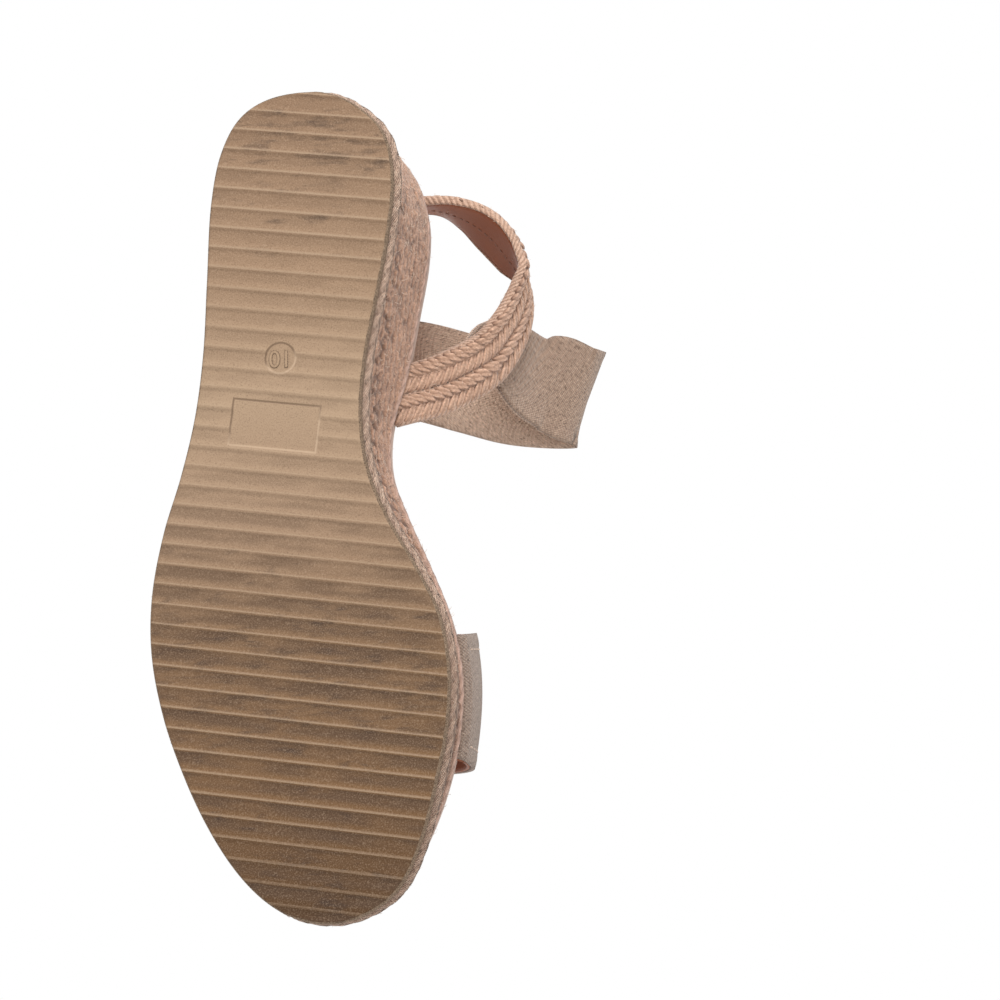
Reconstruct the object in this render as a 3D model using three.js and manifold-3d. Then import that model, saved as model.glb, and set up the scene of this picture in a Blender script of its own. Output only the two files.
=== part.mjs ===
// Left-foot wedge sandal: rubber outsole, jute-wrapped wedge, covered footbed, an open-toed vamp
// and an ankle strap that swings on its two roots.
// Millimetres. +Z is up and the toe points along -Y, so -X is the inner (medial) side of the foot.
// The origin is on the ground under the middle of the outsole.
import * as THREE from 'three';
import { mergeVertices } from 'three/addons/utils/BufferGeometryUtils.js';
import Module from 'manifold-3d';

const wasm = await Module();
wasm.setup();

// ---- Driving dimensions -------------------------------------------------------------------

const GAP = 0.3;                 // between pieces that touch in the real sandal
const PLY_GAP = 0.6;             // between the plies of a strap, which bend and twist together

const SOLE_LENGTH = 267.8;       // outsole, heel tip to toe tip
const BALL_WIDTH = 97.6;         // outsole, across the ball of the foot
const OUTSOLE_THICKNESS = 3.5;
const OUTSOLE_RIM = 1.2;         // the outsole stands this far outside the wedge's wall
const TOE_SPRING = 8;            // lift of the toe tip off the ground
const TREAD_FLAT_END = -48;      // the tread lifts in front of this place

const HEEL_HEIGHT = 55;          // ground to the wrap's top edge, at the back of the heel
const BALL_HEIGHT = 19.5;        // the same, at the ball
const RISE_START = -38;          // the wedge starts to rise behind this place
const RISE_EARLINESS = 0.85;     // under 1, more of the rise lies at its front
const TOE_FOLLOW = 0.6;          // share of the toe's lift that the wedge's top edge follows
const HEEL_LEAN = 3.5;           // the wedge's top is shorter than the outsole at the heel
const TOE_LEAN = 0.6;

const EDGE_BRAID_HEIGHT = 4.6;   // the rope laid along the outsole's edge
const EDGE_BRAID_PROUD = 0.8;
const WRAP_THICKNESS = 3;

const BOARD_THICKNESS = 2.6;
const CUSHION_THICKNESS = 2.2;
const SOCK_THICKNESS = 1;
const SOCK_INSET = 1;            // ledge of the wrap that shows round the footbed

const VAMP_LINEN = 1.3;
const VAMP_LINING = 0.9;
const VAMP_INNER_SIDE = { rear: -42, front: -82 };
const VAMP_OUTER_SIDE = { rear: -32, front: -72 };
const VAMP_HEADROOM = { rear: 45, front: 34 };
const VAMP_FRONT_REACH = 9;      // the front edge bows forward over the toes

const STRAP_WIDTH = 20;          // two braids side by side
const BRAID_THICKNESS = 2.6;
const BRAID_GROOVE = 0.4;
const STRAP_LINING = 1;
const LINING_MARGIN = 0.6;       // the lining is this much narrower at each edge
const STRAP_ROOT_Y = 40;         // middle of the strap where it leaves the footbed
const TAB_THICKNESS = 1.8;       // flat end of a strap, glued under the cushion
const TAB_LENGTH = 13;

const BAND_WIDTH = 34;           // elastic over the instep
const BAND_FACE = 1;
const BAND_BACKING = 0.7;

const STATIONS = 40;             // cross-sections between heel tip and toe tip
const BAR_STEP = 4;              // longest stretch of a bar between two cross-sections
const CLEAR = 10;                // cutting bars run this far past what they cut

// ---- Outlines -----------------------------------------------------------------------------

// Each edge runs heel tip to toe tip: [share of the length, share of the ball width].
const SOLE_INNER = [
  [0, -0.03], [0.015, -0.165], [0.052, -0.272], [0.105, -0.307], [0.187, -0.287], [0.258, -0.251],
  [0.329, -0.215], [0.392, -0.202], [0.459, -0.225], [0.519, -0.292], [0.579, -0.389], [0.635, -0.466],
  [0.698, -0.5], [0.762, -0.495], [0.833, -0.456], [0.904, -0.4], [0.963, -0.312], [0.993, -0.184],
  [1, -0.082],
];
const SOLE_OUTER = [
  [0, -0.03], [0.004, 0.082], [0.024, 0.195], [0.071, 0.272], [0.134, 0.305], [0.232, 0.317],
  [0.321, 0.328], [0.396, 0.354], [0.467, 0.4], [0.534, 0.456], [0.609, 0.494], [0.676, 0.495],
  [0.751, 0.456], [0.822, 0.389], [0.893, 0.297], [0.956, 0.174], [0.991, 0.041], [1, -0.082],
];
const TOP_INNER = [
  [0, -0.01], [0.008, -0.123], [0.03, -0.215], [0.068, -0.287], [0.123, -0.328], [0.176, -0.328],
  [0.241, -0.307], [0.32, -0.282], [0.4, -0.242], [0.453, -0.256], [0.506, -0.318], [0.567, -0.4],
  [0.631, -0.476], [0.696, -0.515], [0.768, -0.512], [0.836, -0.472], [0.901, -0.405], [0.958, -0.308],
  [0.992, -0.195], [1, -0.082],
];
const TOP_OUTER = [
  [0, -0.01], [0.008, 0.113], [0.036, 0.225], [0.085, 0.302], [0.146, 0.336], [0.222, 0.343],
  [0.313, 0.354], [0.389, 0.374], [0.461, 0.415], [0.529, 0.471], [0.605, 0.509], [0.673, 0.51],
  [0.749, 0.471], [0.821, 0.405], [0.891, 0.307], [0.956, 0.179], [0.992, 0.041], [1, -0.082],
];

const HEEL_TIP = SOLE_LENGTH / 2;
const TOE_TIP = -SOLE_LENGTH / 2;

// An edge is smooth in the angle whose cosine steps along the shoe, which rounds both tips.
function edgeCurve(points) {
  const angles = points.map(([share]) => Math.acos(1 - 2 * share));
  const widths = points.map(([, width]) => width * BALL_WIDTH);
  const cubic = new THREE.CubicInterpolant(angles, widths, 1, new Float32Array(1));
  return (share) => cubic.evaluate(Math.acos(1 - 2 * THREE.MathUtils.clamp(share, 0, 1)))[0];
}

function makeOutline(inner, outer, heelTip, toeTip) {
  return { inner: edgeCurve(inner), outer: edgeCurve(outer), heelTip, toeTip };
}

const soleOutline = makeOutline(SOLE_INNER, SOLE_OUTER, HEEL_TIP, TOE_TIP);
const topOutline = makeOutline(TOP_INNER, TOP_OUTER, HEEL_TIP - HEEL_LEAN, TOE_TIP + TOE_LEAN);

function edgeX(outline, side, y) {
  return outline[side]((outline.heelTip - y) / (outline.heelTip - outline.toeTip));
}

// Points go from the heel tip down the inner side to the toe tip and back up the outer side.
function outlinePoint(outline, index) {
  const station = index <= STATIONS ? index : 2 * STATIONS - index;
  const share = (1 - Math.cos((Math.PI * station) / STATIONS)) / 2;
  const side = index <= STATIONS ? 'inner' : 'outer';
  const y = THREE.MathUtils.lerp(outline.heelTip, outline.toeTip, share);
  return new THREE.Vector3(outline[side](share), y, 0);
}

function outlineRing(outline) {
  return Array.from({ length: 2 * STATIONS }, (_, index) => outlinePoint(outline, index));
}

function insetRing(ring, inset) {
  return ring.map((point, index) => {
    const before = ring[(index + ring.length - 1) % ring.length];
    const after = ring[(index + 1) % ring.length];
    const outward = new THREE.Vector3(after.y - before.y, before.x - after.x, 0).normalize();
    return point.clone().addScaledVector(outward, -inset);
  });
}

// ---- Heights ------------------------------------------------------------------------------

function springShare(y) {
  return Math.max(0, (TREAD_FLAT_END - y) / (TREAD_FLAT_END - TOE_TIP));
}

function treadZ(y) {
  return TOE_SPRING * springShare(y) ** 2;
}

function wallFootZ(y) {
  return treadZ(y) + OUTSOLE_THICKNESS + GAP;
}

// The top edge of the wrap: level under the ball, an S-curve up the arch, a slight lift at the toe.
function wrapTopZ(y) {
  const along = THREE.MathUtils.clamp((y - RISE_START) / (HEEL_TIP - RISE_START), 0, 1);
  const rise = THREE.MathUtils.smoothstep(along ** RISE_EARLINESS, 0, 1);
  return BALL_HEIGHT + (HEEL_HEIGHT - BALL_HEIGHT) * rise + TOE_FOLLOW * treadZ(y);
}

const BOARD_TOP = GAP + BOARD_THICKNESS;
const CUSHION_FOOT = BOARD_TOP + GAP;
const CUSHION_TOP = CUSHION_FOOT + CUSHION_THICKNESS;
const SOCK_FOOT = CUSHION_TOP + GAP;
const FOOTBED_TOP = SOCK_FOOT + SOCK_THICKNESS;

function footbedZ(y) {
  return wrapTopZ(y) + FOOTBED_TOP;
}

// ---- Mesh building ------------------------------------------------------------------------

// Triangles across a ring of 2 * STATIONS points, one strip from heel to toe.
function stripCap() {
  const triangles = [];
  for (let k = 0; k < STATIONS; k++) {
    const outer = (2 * STATIONS - k) % (2 * STATIONS);
    if (k > 0) triangles.push([outer, k, k + 1]);
    if (k < STATIONS - 1) triangles.push([outer, k + 1, 2 * STATIONS - k - 1]);
  }
  return triangles;
}

function fanCap(count) {
  return Array.from({ length: count - 2 }, (_, index) => [0, index + 1, index + 2]);
}

function bandBetween(size, lower, upper) {
  const triangles = [];
  for (let i = 0; i < size; i++) {
    const next = (i + 1) % size;
    triangles.push([lower + i, lower + next, upper + next], [lower + i, upper + next, upper + i]);
  }
  return triangles;
}

function geometryFrom(points, triangles) {
  const geometry = new THREE.BufferGeometry().setFromPoints(points);
  geometry.setIndex(triangles.flat());
  if (signedVolume(points, triangles) < 0) {
    geometry.setIndex(triangles.map((triangle) => [...triangle].reverse()).flat());
  }
  return geometry;
}

function signedVolume(points, triangles) {
  const cross = new THREE.Vector3();
  const share = ([a, b, c]) => points[a].dot(cross.crossVectors(points[b], points[c])) / 6;
  return triangles.reduce((sum, triangle) => sum + share(triangle), 0);
}

// A closed skin through the rings in order, capped over the first and the last.
function loft(rings, cap) {
  const size = rings[0].length;
  const triangles = cap.map(([a, b, c]) => [a, c, b]);
  for (let k = 0; k + 1 < rings.length; k++) triangles.push(...bandBetween(size, k * size, (k + 1) * size));
  const last = (rings.length - 1) * size;
  triangles.push(...cap.map((triangle) => triangle.map((index) => index + last)));
  return geometryFrom(rings.flat(), triangles);
}

// The same, but the last ring joins the first, which makes a hoop.
function hoop(rings) {
  const size = rings[0].length;
  const triangles = rings.flatMap((_, k) => bandBetween(size, k * size, ((k + 1) % rings.length) * size));
  return geometryFrom(rings.flat(), triangles);
}

function toSolid(geometry) {
  const bare = new THREE.BufferGeometry().setAttribute('position', geometry.getAttribute('position'));
  if (geometry.index) bare.setIndex(geometry.index);
  const merged = mergeVertices(bare, 1e-4);
  const mesh = new wasm.Mesh({
    numProp: 3,
    vertProperties: new Float32Array(merged.attributes.position.array),
    triVerts: new Uint32Array(merged.index.array),
  });
  return new wasm.Manifold(mesh);
}

function toGeometry(solid) {
  const mesh = solid.getMesh();
  const geometry = new THREE.BufferGeometry();
  geometry.setAttribute('position', new THREE.BufferAttribute(mesh.vertProperties, 3));
  geometry.setIndex(new THREE.BufferAttribute(mesh.triVerts, 1));
  return geometry;
}

function cut(geometry, ...tools) {
  return toGeometry(tools.reduce((solid, tool) => solid.subtract(toSolid(tool)), toSolid(geometry)));
}

// A bar along the shoe between two places, whose underside and top follow height functions of y.
function followBar(places, across, lowZ, highZ) {
  const [front, rear] = places;
  const [left, right] = across;
  const steps = Math.ceil((rear - front) / BAR_STEP);
  const rings = Array.from({ length: steps + 1 }, (_, step) => {
    const y = THREE.MathUtils.lerp(front, rear, step / steps);
    const corners = [[left, lowZ(y)], [left, highZ(y)], [right, highZ(y)], [right, lowZ(y)]];
    return corners.map(([x, z]) => new THREE.Vector3(x, y, z));
  });
  return loft(rings, fanCap(4));
}

function material(hex, roughness) {
  return new THREE.MeshStandardMaterial({ color: hex, roughness, metalness: 0 });
}

function piece(name, geometry, look) {
  const mesh = new THREE.Mesh(geometry, look);
  mesh.name = name;
  geometry.computeVertexNormals();
  return mesh;
}

// ---- Sole and wedge -----------------------------------------------------------------------

function liftRing(ring, heightZ) {
  return ring.map((point) => new THREE.Vector3(point.x, point.y, heightZ(point.y)));
}

// A ring on the wedge's wall. shareAt(y) is how far up the wall it lies, 0 at the outsole.
function wallRing(inset, shareAt) {
  const foot = insetRing(outlineRing(soleOutline), OUTSOLE_RIM);
  const head = outlineRing(topOutline);
  const ring = foot.map((point, index) => point.clone().lerp(head[index], shareAt(point.y)));
  const heightZ = (y) => THREE.MathUtils.lerp(wallFootZ(y), wrapTopZ(y), shareAt(y));
  return liftRing(insetRing(ring, inset), heightZ);
}

function wallShare(height) {
  return (y) => height / (wrapTopZ(y) - wallFootZ(y));
}

const atFoot = () => 0;
const atTop = () => 1;
const atBraidTop = wallShare(EDGE_BRAID_HEIGHT);
const atWrapFoot = wallShare(EDGE_BRAID_HEIGHT + GAP);

function makeOutsole() {
  const ring = outlineRing(soleOutline);
  const top = liftRing(ring, (y) => treadZ(y) + OUTSOLE_THICKNESS);
  return loft([liftRing(ring, treadZ), top], stripCap());
}

function makeEdgeBraid() {
  const outside = [wallRing(-EDGE_BRAID_PROUD, atFoot), wallRing(-EDGE_BRAID_PROUD, atBraidTop)];
  return hoop([...outside, wallRing(WRAP_THICKNESS, atBraidTop), wallRing(WRAP_THICKNESS, atFoot)]);
}

function makeJuteWrap() {
  const outside = [wallRing(0, atWrapFoot), wallRing(0, atTop)];
  return hoop([...outside, wallRing(WRAP_THICKNESS, atTop), wallRing(WRAP_THICKNESS, atWrapFoot)]);
}

function makeWedgeCore() {
  const inset = WRAP_THICKNESS + GAP;
  return loft([wallRing(inset, atTop), wallRing(inset, atWrapFoot), wallRing(inset, atFoot)], stripCap());
}

// ---- Footbed ------------------------------------------------------------------------------

function footbedRing(inset, lift) {
  return liftRing(insetRing(outlineRing(topOutline), inset), (y) => wrapTopZ(y) + lift);
}

const BOARD_INSET = SOCK_INSET + SOCK_THICKNESS + GAP;
const STRAP_PLACES = [STRAP_ROOT_Y - STRAP_WIDTH / 2, STRAP_ROOT_Y + STRAP_WIDTH / 2];
const OUTSIDE = BALL_WIDTH;      // further out than any piece of the footbed

// Where an upper leaves the footbed: its side, its two places along the shoe, and its thickness.
const ROOTS = {
  inner_strap: { side: 'inner', sign: -1, places: STRAP_PLACES },
  outer_strap: { side: 'outer', sign: 1, places: STRAP_PLACES },
  inner_vamp: { side: 'inner', sign: -1, places: [VAMP_INNER_SIDE.front, VAMP_INNER_SIDE.rear] },
  outer_vamp: { side: 'outer', sign: 1, places: [VAMP_OUTER_SIDE.front, VAMP_OUTER_SIDE.rear] },
};

// How far in from the footbed's edge a root's notch reaches, as the x nearest the shoe's middle.
function innermostX({ side, sign, places }) {
  const edges = places.map((y) => Math.abs(edgeX(topOutline, side, y)));
  return sign * (Math.min(...edges) - BOARD_INSET - TAB_LENGTH);
}

function notch(root, lift) {
  const places = [root.places[0] - GAP, root.places[1] + GAP];
  const across = [innermostX(root) - root.sign * GAP, root.sign * OUTSIDE].sort((a, b) => a - b);
  return followBar(places, across, (y) => wrapTopZ(y) - GAP, (y) => wrapTopZ(y) + lift);
}

function makeTab(root) {
  const places = [root.places[0] + GAP, root.places[1] - GAP];
  const outermost = root.sign * OUTSIDE;
  const across = [innermostX(root), outermost].sort((a, b) => a - b);
  const lowZ = (y) => wrapTopZ(y) + GAP;
  const bar = followBar(places, across, lowZ, (y) => lowZ(y) + TAB_THICKNESS);
  const inset = SOCK_INSET + GAP;
  const keep = loft([footbedRing(inset, -GAP), footbedRing(inset, BOARD_TOP)], stripCap());
  return toGeometry(toSolid(bar).intersect(toSolid(keep)));
}

function makeBoard() {
  const board = loft([footbedRing(BOARD_INSET, GAP), footbedRing(BOARD_INSET, BOARD_TOP)], stripCap());
  return cut(board, ...Object.values(ROOTS).map((root) => notch(root, BOARD_TOP + GAP)));
}

function makeCushion() {
  const rings = [footbedRing(BOARD_INSET, CUSHION_FOOT), footbedRing(BOARD_INSET, CUSHION_TOP)];
  return loft(rings, stripCap());
}

// The sock lining is a shallow cap: its skirt covers the cushion's and the board's edges.
function makeSockLining() {
  const inside = SOCK_INSET + SOCK_THICKNESS;
  const hollow = [footbedRing(inside, SOCK_FOOT), footbedRing(inside, GAP)];
  const skin = [footbedRing(SOCK_INSET, GAP), footbedRing(SOCK_INSET, FOOTBED_TOP)];
  const cap = loft([...hollow, ...skin], stripCap());
  return cut(cap, ...Object.values(ROOTS).map((root) => notch(root, BOARD_TOP)));
}

// ---- Vamp ---------------------------------------------------------------------------------

// The arch over the toes, from the inner ledge to the outer one: [share of the half span, of height].
const VAMP_ARCH = [
  [-1, -0.02], [-1.03, 0.12], [-1.02, 0.32], [-0.9, 0.6], [-0.64, 0.85], [-0.26, 0.985],
  [0.13, 0.99], [0.52, 0.85], [0.82, 0.6], [0.98, 0.32], [1.02, 0.12], [1, -0.02],
];
const VAMP_ACROSS = 33;
const VAMP_ALONG = 5;
const VAMP_THICKNESS = VAMP_LINEN + GAP + VAMP_LINING;
const vampArch = new THREE.CatmullRomCurve3(VAMP_ARCH.map(([x, z]) => new THREE.Vector3(x, 0, z)));

function standOff(thickness) {
  return thickness / 2 + GAP - SOCK_INSET;
}

function vampPoint(across, along) {
  const innerY = THREE.MathUtils.lerp(VAMP_INNER_SIDE.rear, VAMP_INNER_SIDE.front, along);
  const outerY = THREE.MathUtils.lerp(VAMP_OUTER_SIDE.rear, VAMP_OUTER_SIDE.front, along);
  const innerX = edgeX(topOutline, 'inner', innerY) - standOff(VAMP_THICKNESS);
  const outerX = edgeX(topOutline, 'outer', outerY) + standOff(VAMP_THICKNESS);
  const shape = vampArch.getPoint(across);
  const x = (innerX + outerX) / 2 + (shape.x * (outerX - innerX)) / 2;
  const reach = VAMP_FRONT_REACH * along * Math.sin(Math.PI * across);
  const y = THREE.MathUtils.lerp(innerY, outerY, across) - reach;
  const headroom = THREE.MathUtils.lerp(VAMP_HEADROOM.rear, VAMP_HEADROOM.front, along);
  return new THREE.Vector3(x, y, wrapTopZ(y) + shape.z * (FOOTBED_TOP + headroom));
}

function vampNormal(across, along) {
  const step = 0.01;
  const [a, b] = [Math.max(0, across - step), Math.min(1, across + step)];
  const [c, d] = [Math.max(0, along - step), Math.min(1, along + step)];
  const sideways = vampPoint(b, along).sub(vampPoint(a, along));
  const forward = vampPoint(across, d).sub(vampPoint(across, c));
  return forward.cross(sideways).normalize();
}

// One cross-section of the vamp: out along one face and back along the other.
function vampRing(across, low, high) {
  const share = (index) => index / (VAMP_ALONG - 1);
  const point = (index, offset) => {
    const normal = vampNormal(across, share(index));
    return vampPoint(across, share(index)).addScaledVector(normal, offset);
  };
  const steps = Array.from({ length: VAMP_ALONG }, (_, index) => index);
  return [...steps.map((index) => point(index, low)), ...steps.reverse().map((index) => point(index, high))];
}

// Two rows of points face each other, so the cap is a strip between them.
function rowsCap(count) {
  const triangles = [];
  for (let i = 0; i + 1 < count; i++) {
    const far = 2 * count - 1 - i;
    triangles.push([i, i + 1, far - 1], [i, far - 1, far]);
  }
  return triangles;
}

function belowLedge() {
  const places = [VAMP_INNER_SIDE.front - CLEAR, STRAP_PLACES[1] + CLEAR];
  return followBar(places, [-OUTSIDE, OUTSIDE], (y) => wrapTopZ(y) - HEEL_HEIGHT, (y) => wrapTopZ(y) + GAP);
}

// The covered footbed with a little room round it, for trimming what rises beside it.
function besideFootbed() {
  const inset = SOCK_INSET - GAP;
  return loft([footbedRing(inset, -HEEL_HEIGHT), footbedRing(inset, FOOTBED_TOP + GAP)], stripCap());
}

function makeVampLayer(low, high) {
  const rings = Array.from({ length: VAMP_ACROSS }, (_, i) => vampRing(i / (VAMP_ACROSS - 1), low, high));
  return cut(loft(rings, rowsCap(VAMP_ALONG)), belowLedge());
}

// ---- Ankle strap --------------------------------------------------------------------------

const STRAP_THICKNESS = BRAID_THICKNESS + PLY_GAP + STRAP_LINING;
const rootInnerX = edgeX(topOutline, 'inner', STRAP_ROOT_Y);
const rootOuterX = edgeX(topOutline, 'outer', STRAP_ROOT_Y);

// Route points are [share across the footbed at the roots, distance behind the roots, height above
// the footbed there], with the direction from the middle of the ribbon to its rear or lower edge.
const STRAP_ROUTE = [
  [[-0.01, 0, -3.6], [-3.5, 19, 6]],
  [[-0.118, 2.4, 0.5], [0, 19.4, 1]],
  [[-0.232, 6, 4.6], [5.2, 18.6, -8.2]],
  [[-0.404, 13.6, 9.2], [6.7, 14.2, -13.1]],
  [[-0.494, 21.8, 11.4], [6.4, 9.6, -16.6]],
  [[-0.548, 30.4, 13.0], [4.8, 4.3, -18.8]],
  [[-0.567, 38.4, 13.8], [0.9, 0.1, -19.6]],
  [[-0.55, 45.5, 13.7], [-7, -1.5, -18.3]],
  [[-0.482, 51.4, 13.3], [-11, 2, -16]],
  [[-0.366, 59.6, 12.6], [-11.7, 4, -15.2]],
  [[-0.205, 66.6, 12.2], [-9.5, 1.5, -17.3]],
  [[-0.027, 70.2, 12.4], [-5.5, -0.8, -18.8]],
  [[0.238, 68.6, 12.4], [-2, 0, -19.7]],
  [[0.48, 61, 12.3], [2, 3, -19.5]],
  [[0.657, 48, 12.3], [5, 5, -18.8]],
  [[0.778, 33, 12.5], [7, 7, -17.5]],
  [[0.858, 19, 11.6], [8, 11, -14.5]],
  [[0.939, 9.5, 8.8], [6, 16, -10]],
  [[1.011, 3, 4.6], [2.5, 19, -4]],
  [[1.037, 0.5, 0], [0, 19.5, 3]],
  [[1.026, 0, -5.8], [-1.4, 19, 6]],
];
const INNER_SEAM = 2;            // route point where the inner leg hands over to the sling
const OUTER_SEAM = 17.5;
const SEAM_RUN_ON = 0.7;         // a leg and the sling are made this far past their seam, then cut
const LEG_STEPS = 3;             // cross-sections for each route point
const SLING_STEPS = 4;
const BAND_STEPS = 5;
const SEAM_STEP_BEHIND = 20;     // nothing of the inner leg lies further behind the roots

const BAND_ROUTE = [
  [[-0.328, 13.3, 11.6], [5, 16, -10]],
  [[-0.388, 18, 15.2], [5, 15, -10]],
  [[-0.47, 16.5, 22.8], [3, 18, -5]],
  [[-0.583, 10.4, 31.6], [-1, 23, 2]],
  [[-0.696, 8, 36.1], [-7, 27, 0]],
  [[-0.808, 4.7, 40.9], [-11, 30, -1]],
  [[-0.85, 4.3, 45.1], [-11, 30, -1]],
  [[-0.8, 4.3, 49], [-10, 31, -1]],
  [[-0.663, 4.3, 49.2], [-8, 34, -2]],
  [[-0.44, 5.4, 45.0], [-3, 37, -3]],
  [[-0.216, 8.9, 39.3], [-2, 37, -3]],
  [[0.06, 13.2, 31.4], [0, 38, -4]],
  [[0.335, 15, 25.7], [1, 38, -6]],
  [[0.56, 15, 20.2], [3, 36, -9]],
  [[0.715, 14.5, 14.3], [6, 24, -14]],
  [[0.792, 15.5, 8.2], [7, 15, -13]],
];
const BAND_TAPER = [0.5, 0.56, 0.7, 0.88, 1, 1, 1, 1, 1, 1, 1, 1, 1, 0.92, 0.74, 0.58];

function routePoint([across, behind, above]) {
  const y = STRAP_ROOT_Y + behind;
  return new THREE.Vector3(THREE.MathUtils.lerp(rootInnerX, rootOuterX, across), y, footbedZ(y) + above);
}

function makeRoute(points) {
  return {
    middle: new THREE.CatmullRomCurve3(points.map(([place]) => routePoint(place))),
    edge: new THREE.CatmullRomCurve3(points.map(([, way]) => new THREE.Vector3(...way).normalize())),
    count: points.length - 1,
  };
}

const strapRoute = makeRoute(STRAP_ROUTE);
const bandRoute = makeRoute(BAND_ROUTE);

// Frame of the ribbon at a route index: towards its rear edge, and out of its outer face.
function routeFrame(route, index) {
  const t = THREE.MathUtils.clamp(index / route.count, 0, 1);
  const middle = route.middle.getPoint(t);
  const along = route.middle.getTangent(t);
  const edge = route.edge.getPoint(t);
  edge.addScaledVector(along, -edge.dot(along)).normalize();
  return { middle, edge, out: along.clone().cross(edge) };
}

// section(index) gives the outline of the ribbon there, as [towards the rear edge, outwards] pairs.
function ribbon(route, from, to, stepsPerPoint, section) {
  const steps = Math.round((to - from) * stepsPerPoint);
  const rings = Array.from({ length: steps + 1 }, (_, step) => {
    const index = THREE.MathUtils.lerp(from, to, step / steps);
    const { middle, edge, out } = routeFrame(route, index);
    return section(index).map(([w, n]) => middle.clone().addScaledVector(edge, w).addScaledVector(out, n));
  });
  return loft(rings, fanCap(rings[0].length));
}

const STEPS_ACROSS = 4;          // a twisted ribbon needs its width split into facets
const BRAID_CORNER = { width: 0.14, thickness: 0.3 };    // shares that a braid's corners take off

function flatSection(w0, w1, n0, n1) {
  const steps = Array.from({ length: STEPS_ACROSS + 1 }, (_, i) => i / STEPS_ACROSS);
  const widths = steps.map((share) => THREE.MathUtils.lerp(w0, w1, share));
  return [...widths.map((w) => [w, n0]), ...widths.reverse().map((w) => [w, n1])];
}

function braidSection(w0, w1, n0, n1) {
  const cornerW = (w1 - w0) * BRAID_CORNER.width;
  const cornerN = (n1 - n0) * BRAID_CORNER.thickness;
  return [
    [w0 + cornerW, n0], [w1 - cornerW, n0], [w1, n0 + cornerN], [w1, n1 - cornerN],
    [w1 - cornerW, n1], [w0 + cornerW, n1], [w0, n1 - cornerN], [w0, n0 + cornerN],
  ];
}

const strapInside = -STRAP_THICKNESS / 2;
const strapOutside = STRAP_THICKNESS / 2;
const braidFaces = [strapOutside - BRAID_THICKNESS, strapOutside];
const strapLayers = {
  front_braid: braidSection(-STRAP_WIDTH / 2, -BRAID_GROOVE / 2, ...braidFaces),
  rear_braid: braidSection(BRAID_GROOVE / 2, STRAP_WIDTH / 2, ...braidFaces),
  lining: flatSection(
    LINING_MARGIN - STRAP_WIDTH / 2, STRAP_WIDTH / 2 - LINING_MARGIN, strapInside, strapInside + STRAP_LINING,
  ),
};

const innerSeamX = routeFrame(strapRoute, INNER_SEAM).middle.x;
const outerSeamX = routeFrame(strapRoute, OUTER_SEAM).middle.x;

// Everything between two x planes, near the roots and as high as the strap goes.
function slab(x0, x1) {
  const places = [STRAP_PLACES[0] - STRAP_WIDTH, STRAP_ROOT_Y + SEAM_STEP_BEHIND];
  return followBar(places, [x0, x1], () => 0, (y) => footbedZ(y) + 2 * STRAP_WIDTH);
}

function innerLeg(section) {
  const leg = ribbon(strapRoute, 0, INNER_SEAM + SEAM_RUN_ON, LEG_STEPS, () => section);
  return cut(leg, belowLedge(), besideFootbed(), slab(innerSeamX - OUTSIDE, innerSeamX + GAP / 2));
}

function outerLeg(section) {
  const leg = ribbon(strapRoute, OUTER_SEAM - SEAM_RUN_ON, strapRoute.count, LEG_STEPS, () => section);
  return cut(leg, belowLedge(), besideFootbed(), slab(outerSeamX - OUTSIDE, outerSeamX + GAP / 2));
}

function sling(section) {
  const ends = [INNER_SEAM - SEAM_RUN_ON, OUTER_SEAM + SEAM_RUN_ON];
  const whole = ribbon(strapRoute, ...ends, SLING_STEPS, () => section);
  const innerSide = slab(innerSeamX - GAP / 2, rootInnerX + STRAP_WIDTH);
  return cut(whole, innerSide, slab(outerSeamX - GAP / 2, OUTSIDE));
}

const BAND_THICKNESS = BAND_FACE + PLY_GAP + BAND_BACKING;

function bandHalfWidth(index) {
  const whole = Math.min(Math.floor(index), BAND_TAPER.length - 2);
  const share = THREE.MathUtils.lerp(BAND_TAPER[whole], BAND_TAPER[whole + 1], index - whole);
  return (BAND_WIDTH * share) / 2;
}

function makeBandLayer(low, high) {
  const section = (index) => flatSection(-bandHalfWidth(index), bandHalfWidth(index), low, high);
  return ribbon(bandRoute, 0, bandRoute.count, BAND_STEPS, section);
}

// ---- The sandal ---------------------------------------------------------------------------

const rubber = material(0xa78b74, 0.75);
const jute = material(0xb1957f, 0.95);
const rope = material(0xbea08f, 0.95);
const braid = material(0xb08e79, 0.9);
const cork = material(0xb98f62, 0.95);
const board = material(0x8f7a62, 0.9);
const foam = material(0xd9cfc0, 1);
const peach = material(0x955f47, 0.55);
const linen = material(0xc6b3a7, 0.95);

const sandal = new THREE.Group();
sandal.name = 'wedge_sandal';

const sole = new THREE.Group();
sole.add(
  piece('outsole', makeOutsole(), rubber),
  piece('sole_edge_braid', makeEdgeBraid(), rope),
  piece('wedge_core', makeWedgeCore(), cork),
  piece('jute_wrap', makeJuteWrap(), jute),
  piece('insole_board', makeBoard(), board),
  piece('cushion_pad', makeCushion(), foam),
  piece('sock_lining', makeSockLining(), peach),
);
for (const [name, root] of Object.entries(ROOTS)) sole.add(piece(`${name}_tab`, makeTab(root), linen));

const vamp = new THREE.Group();
vamp.add(
  piece('vamp_linen', makeVampLayer(VAMP_THICKNESS / 2 - VAMP_LINEN, VAMP_THICKNESS / 2), linen),
  piece('vamp_lining', makeVampLayer(-VAMP_THICKNESS / 2, VAMP_LINING - VAMP_THICKNESS / 2), peach),
);

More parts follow.
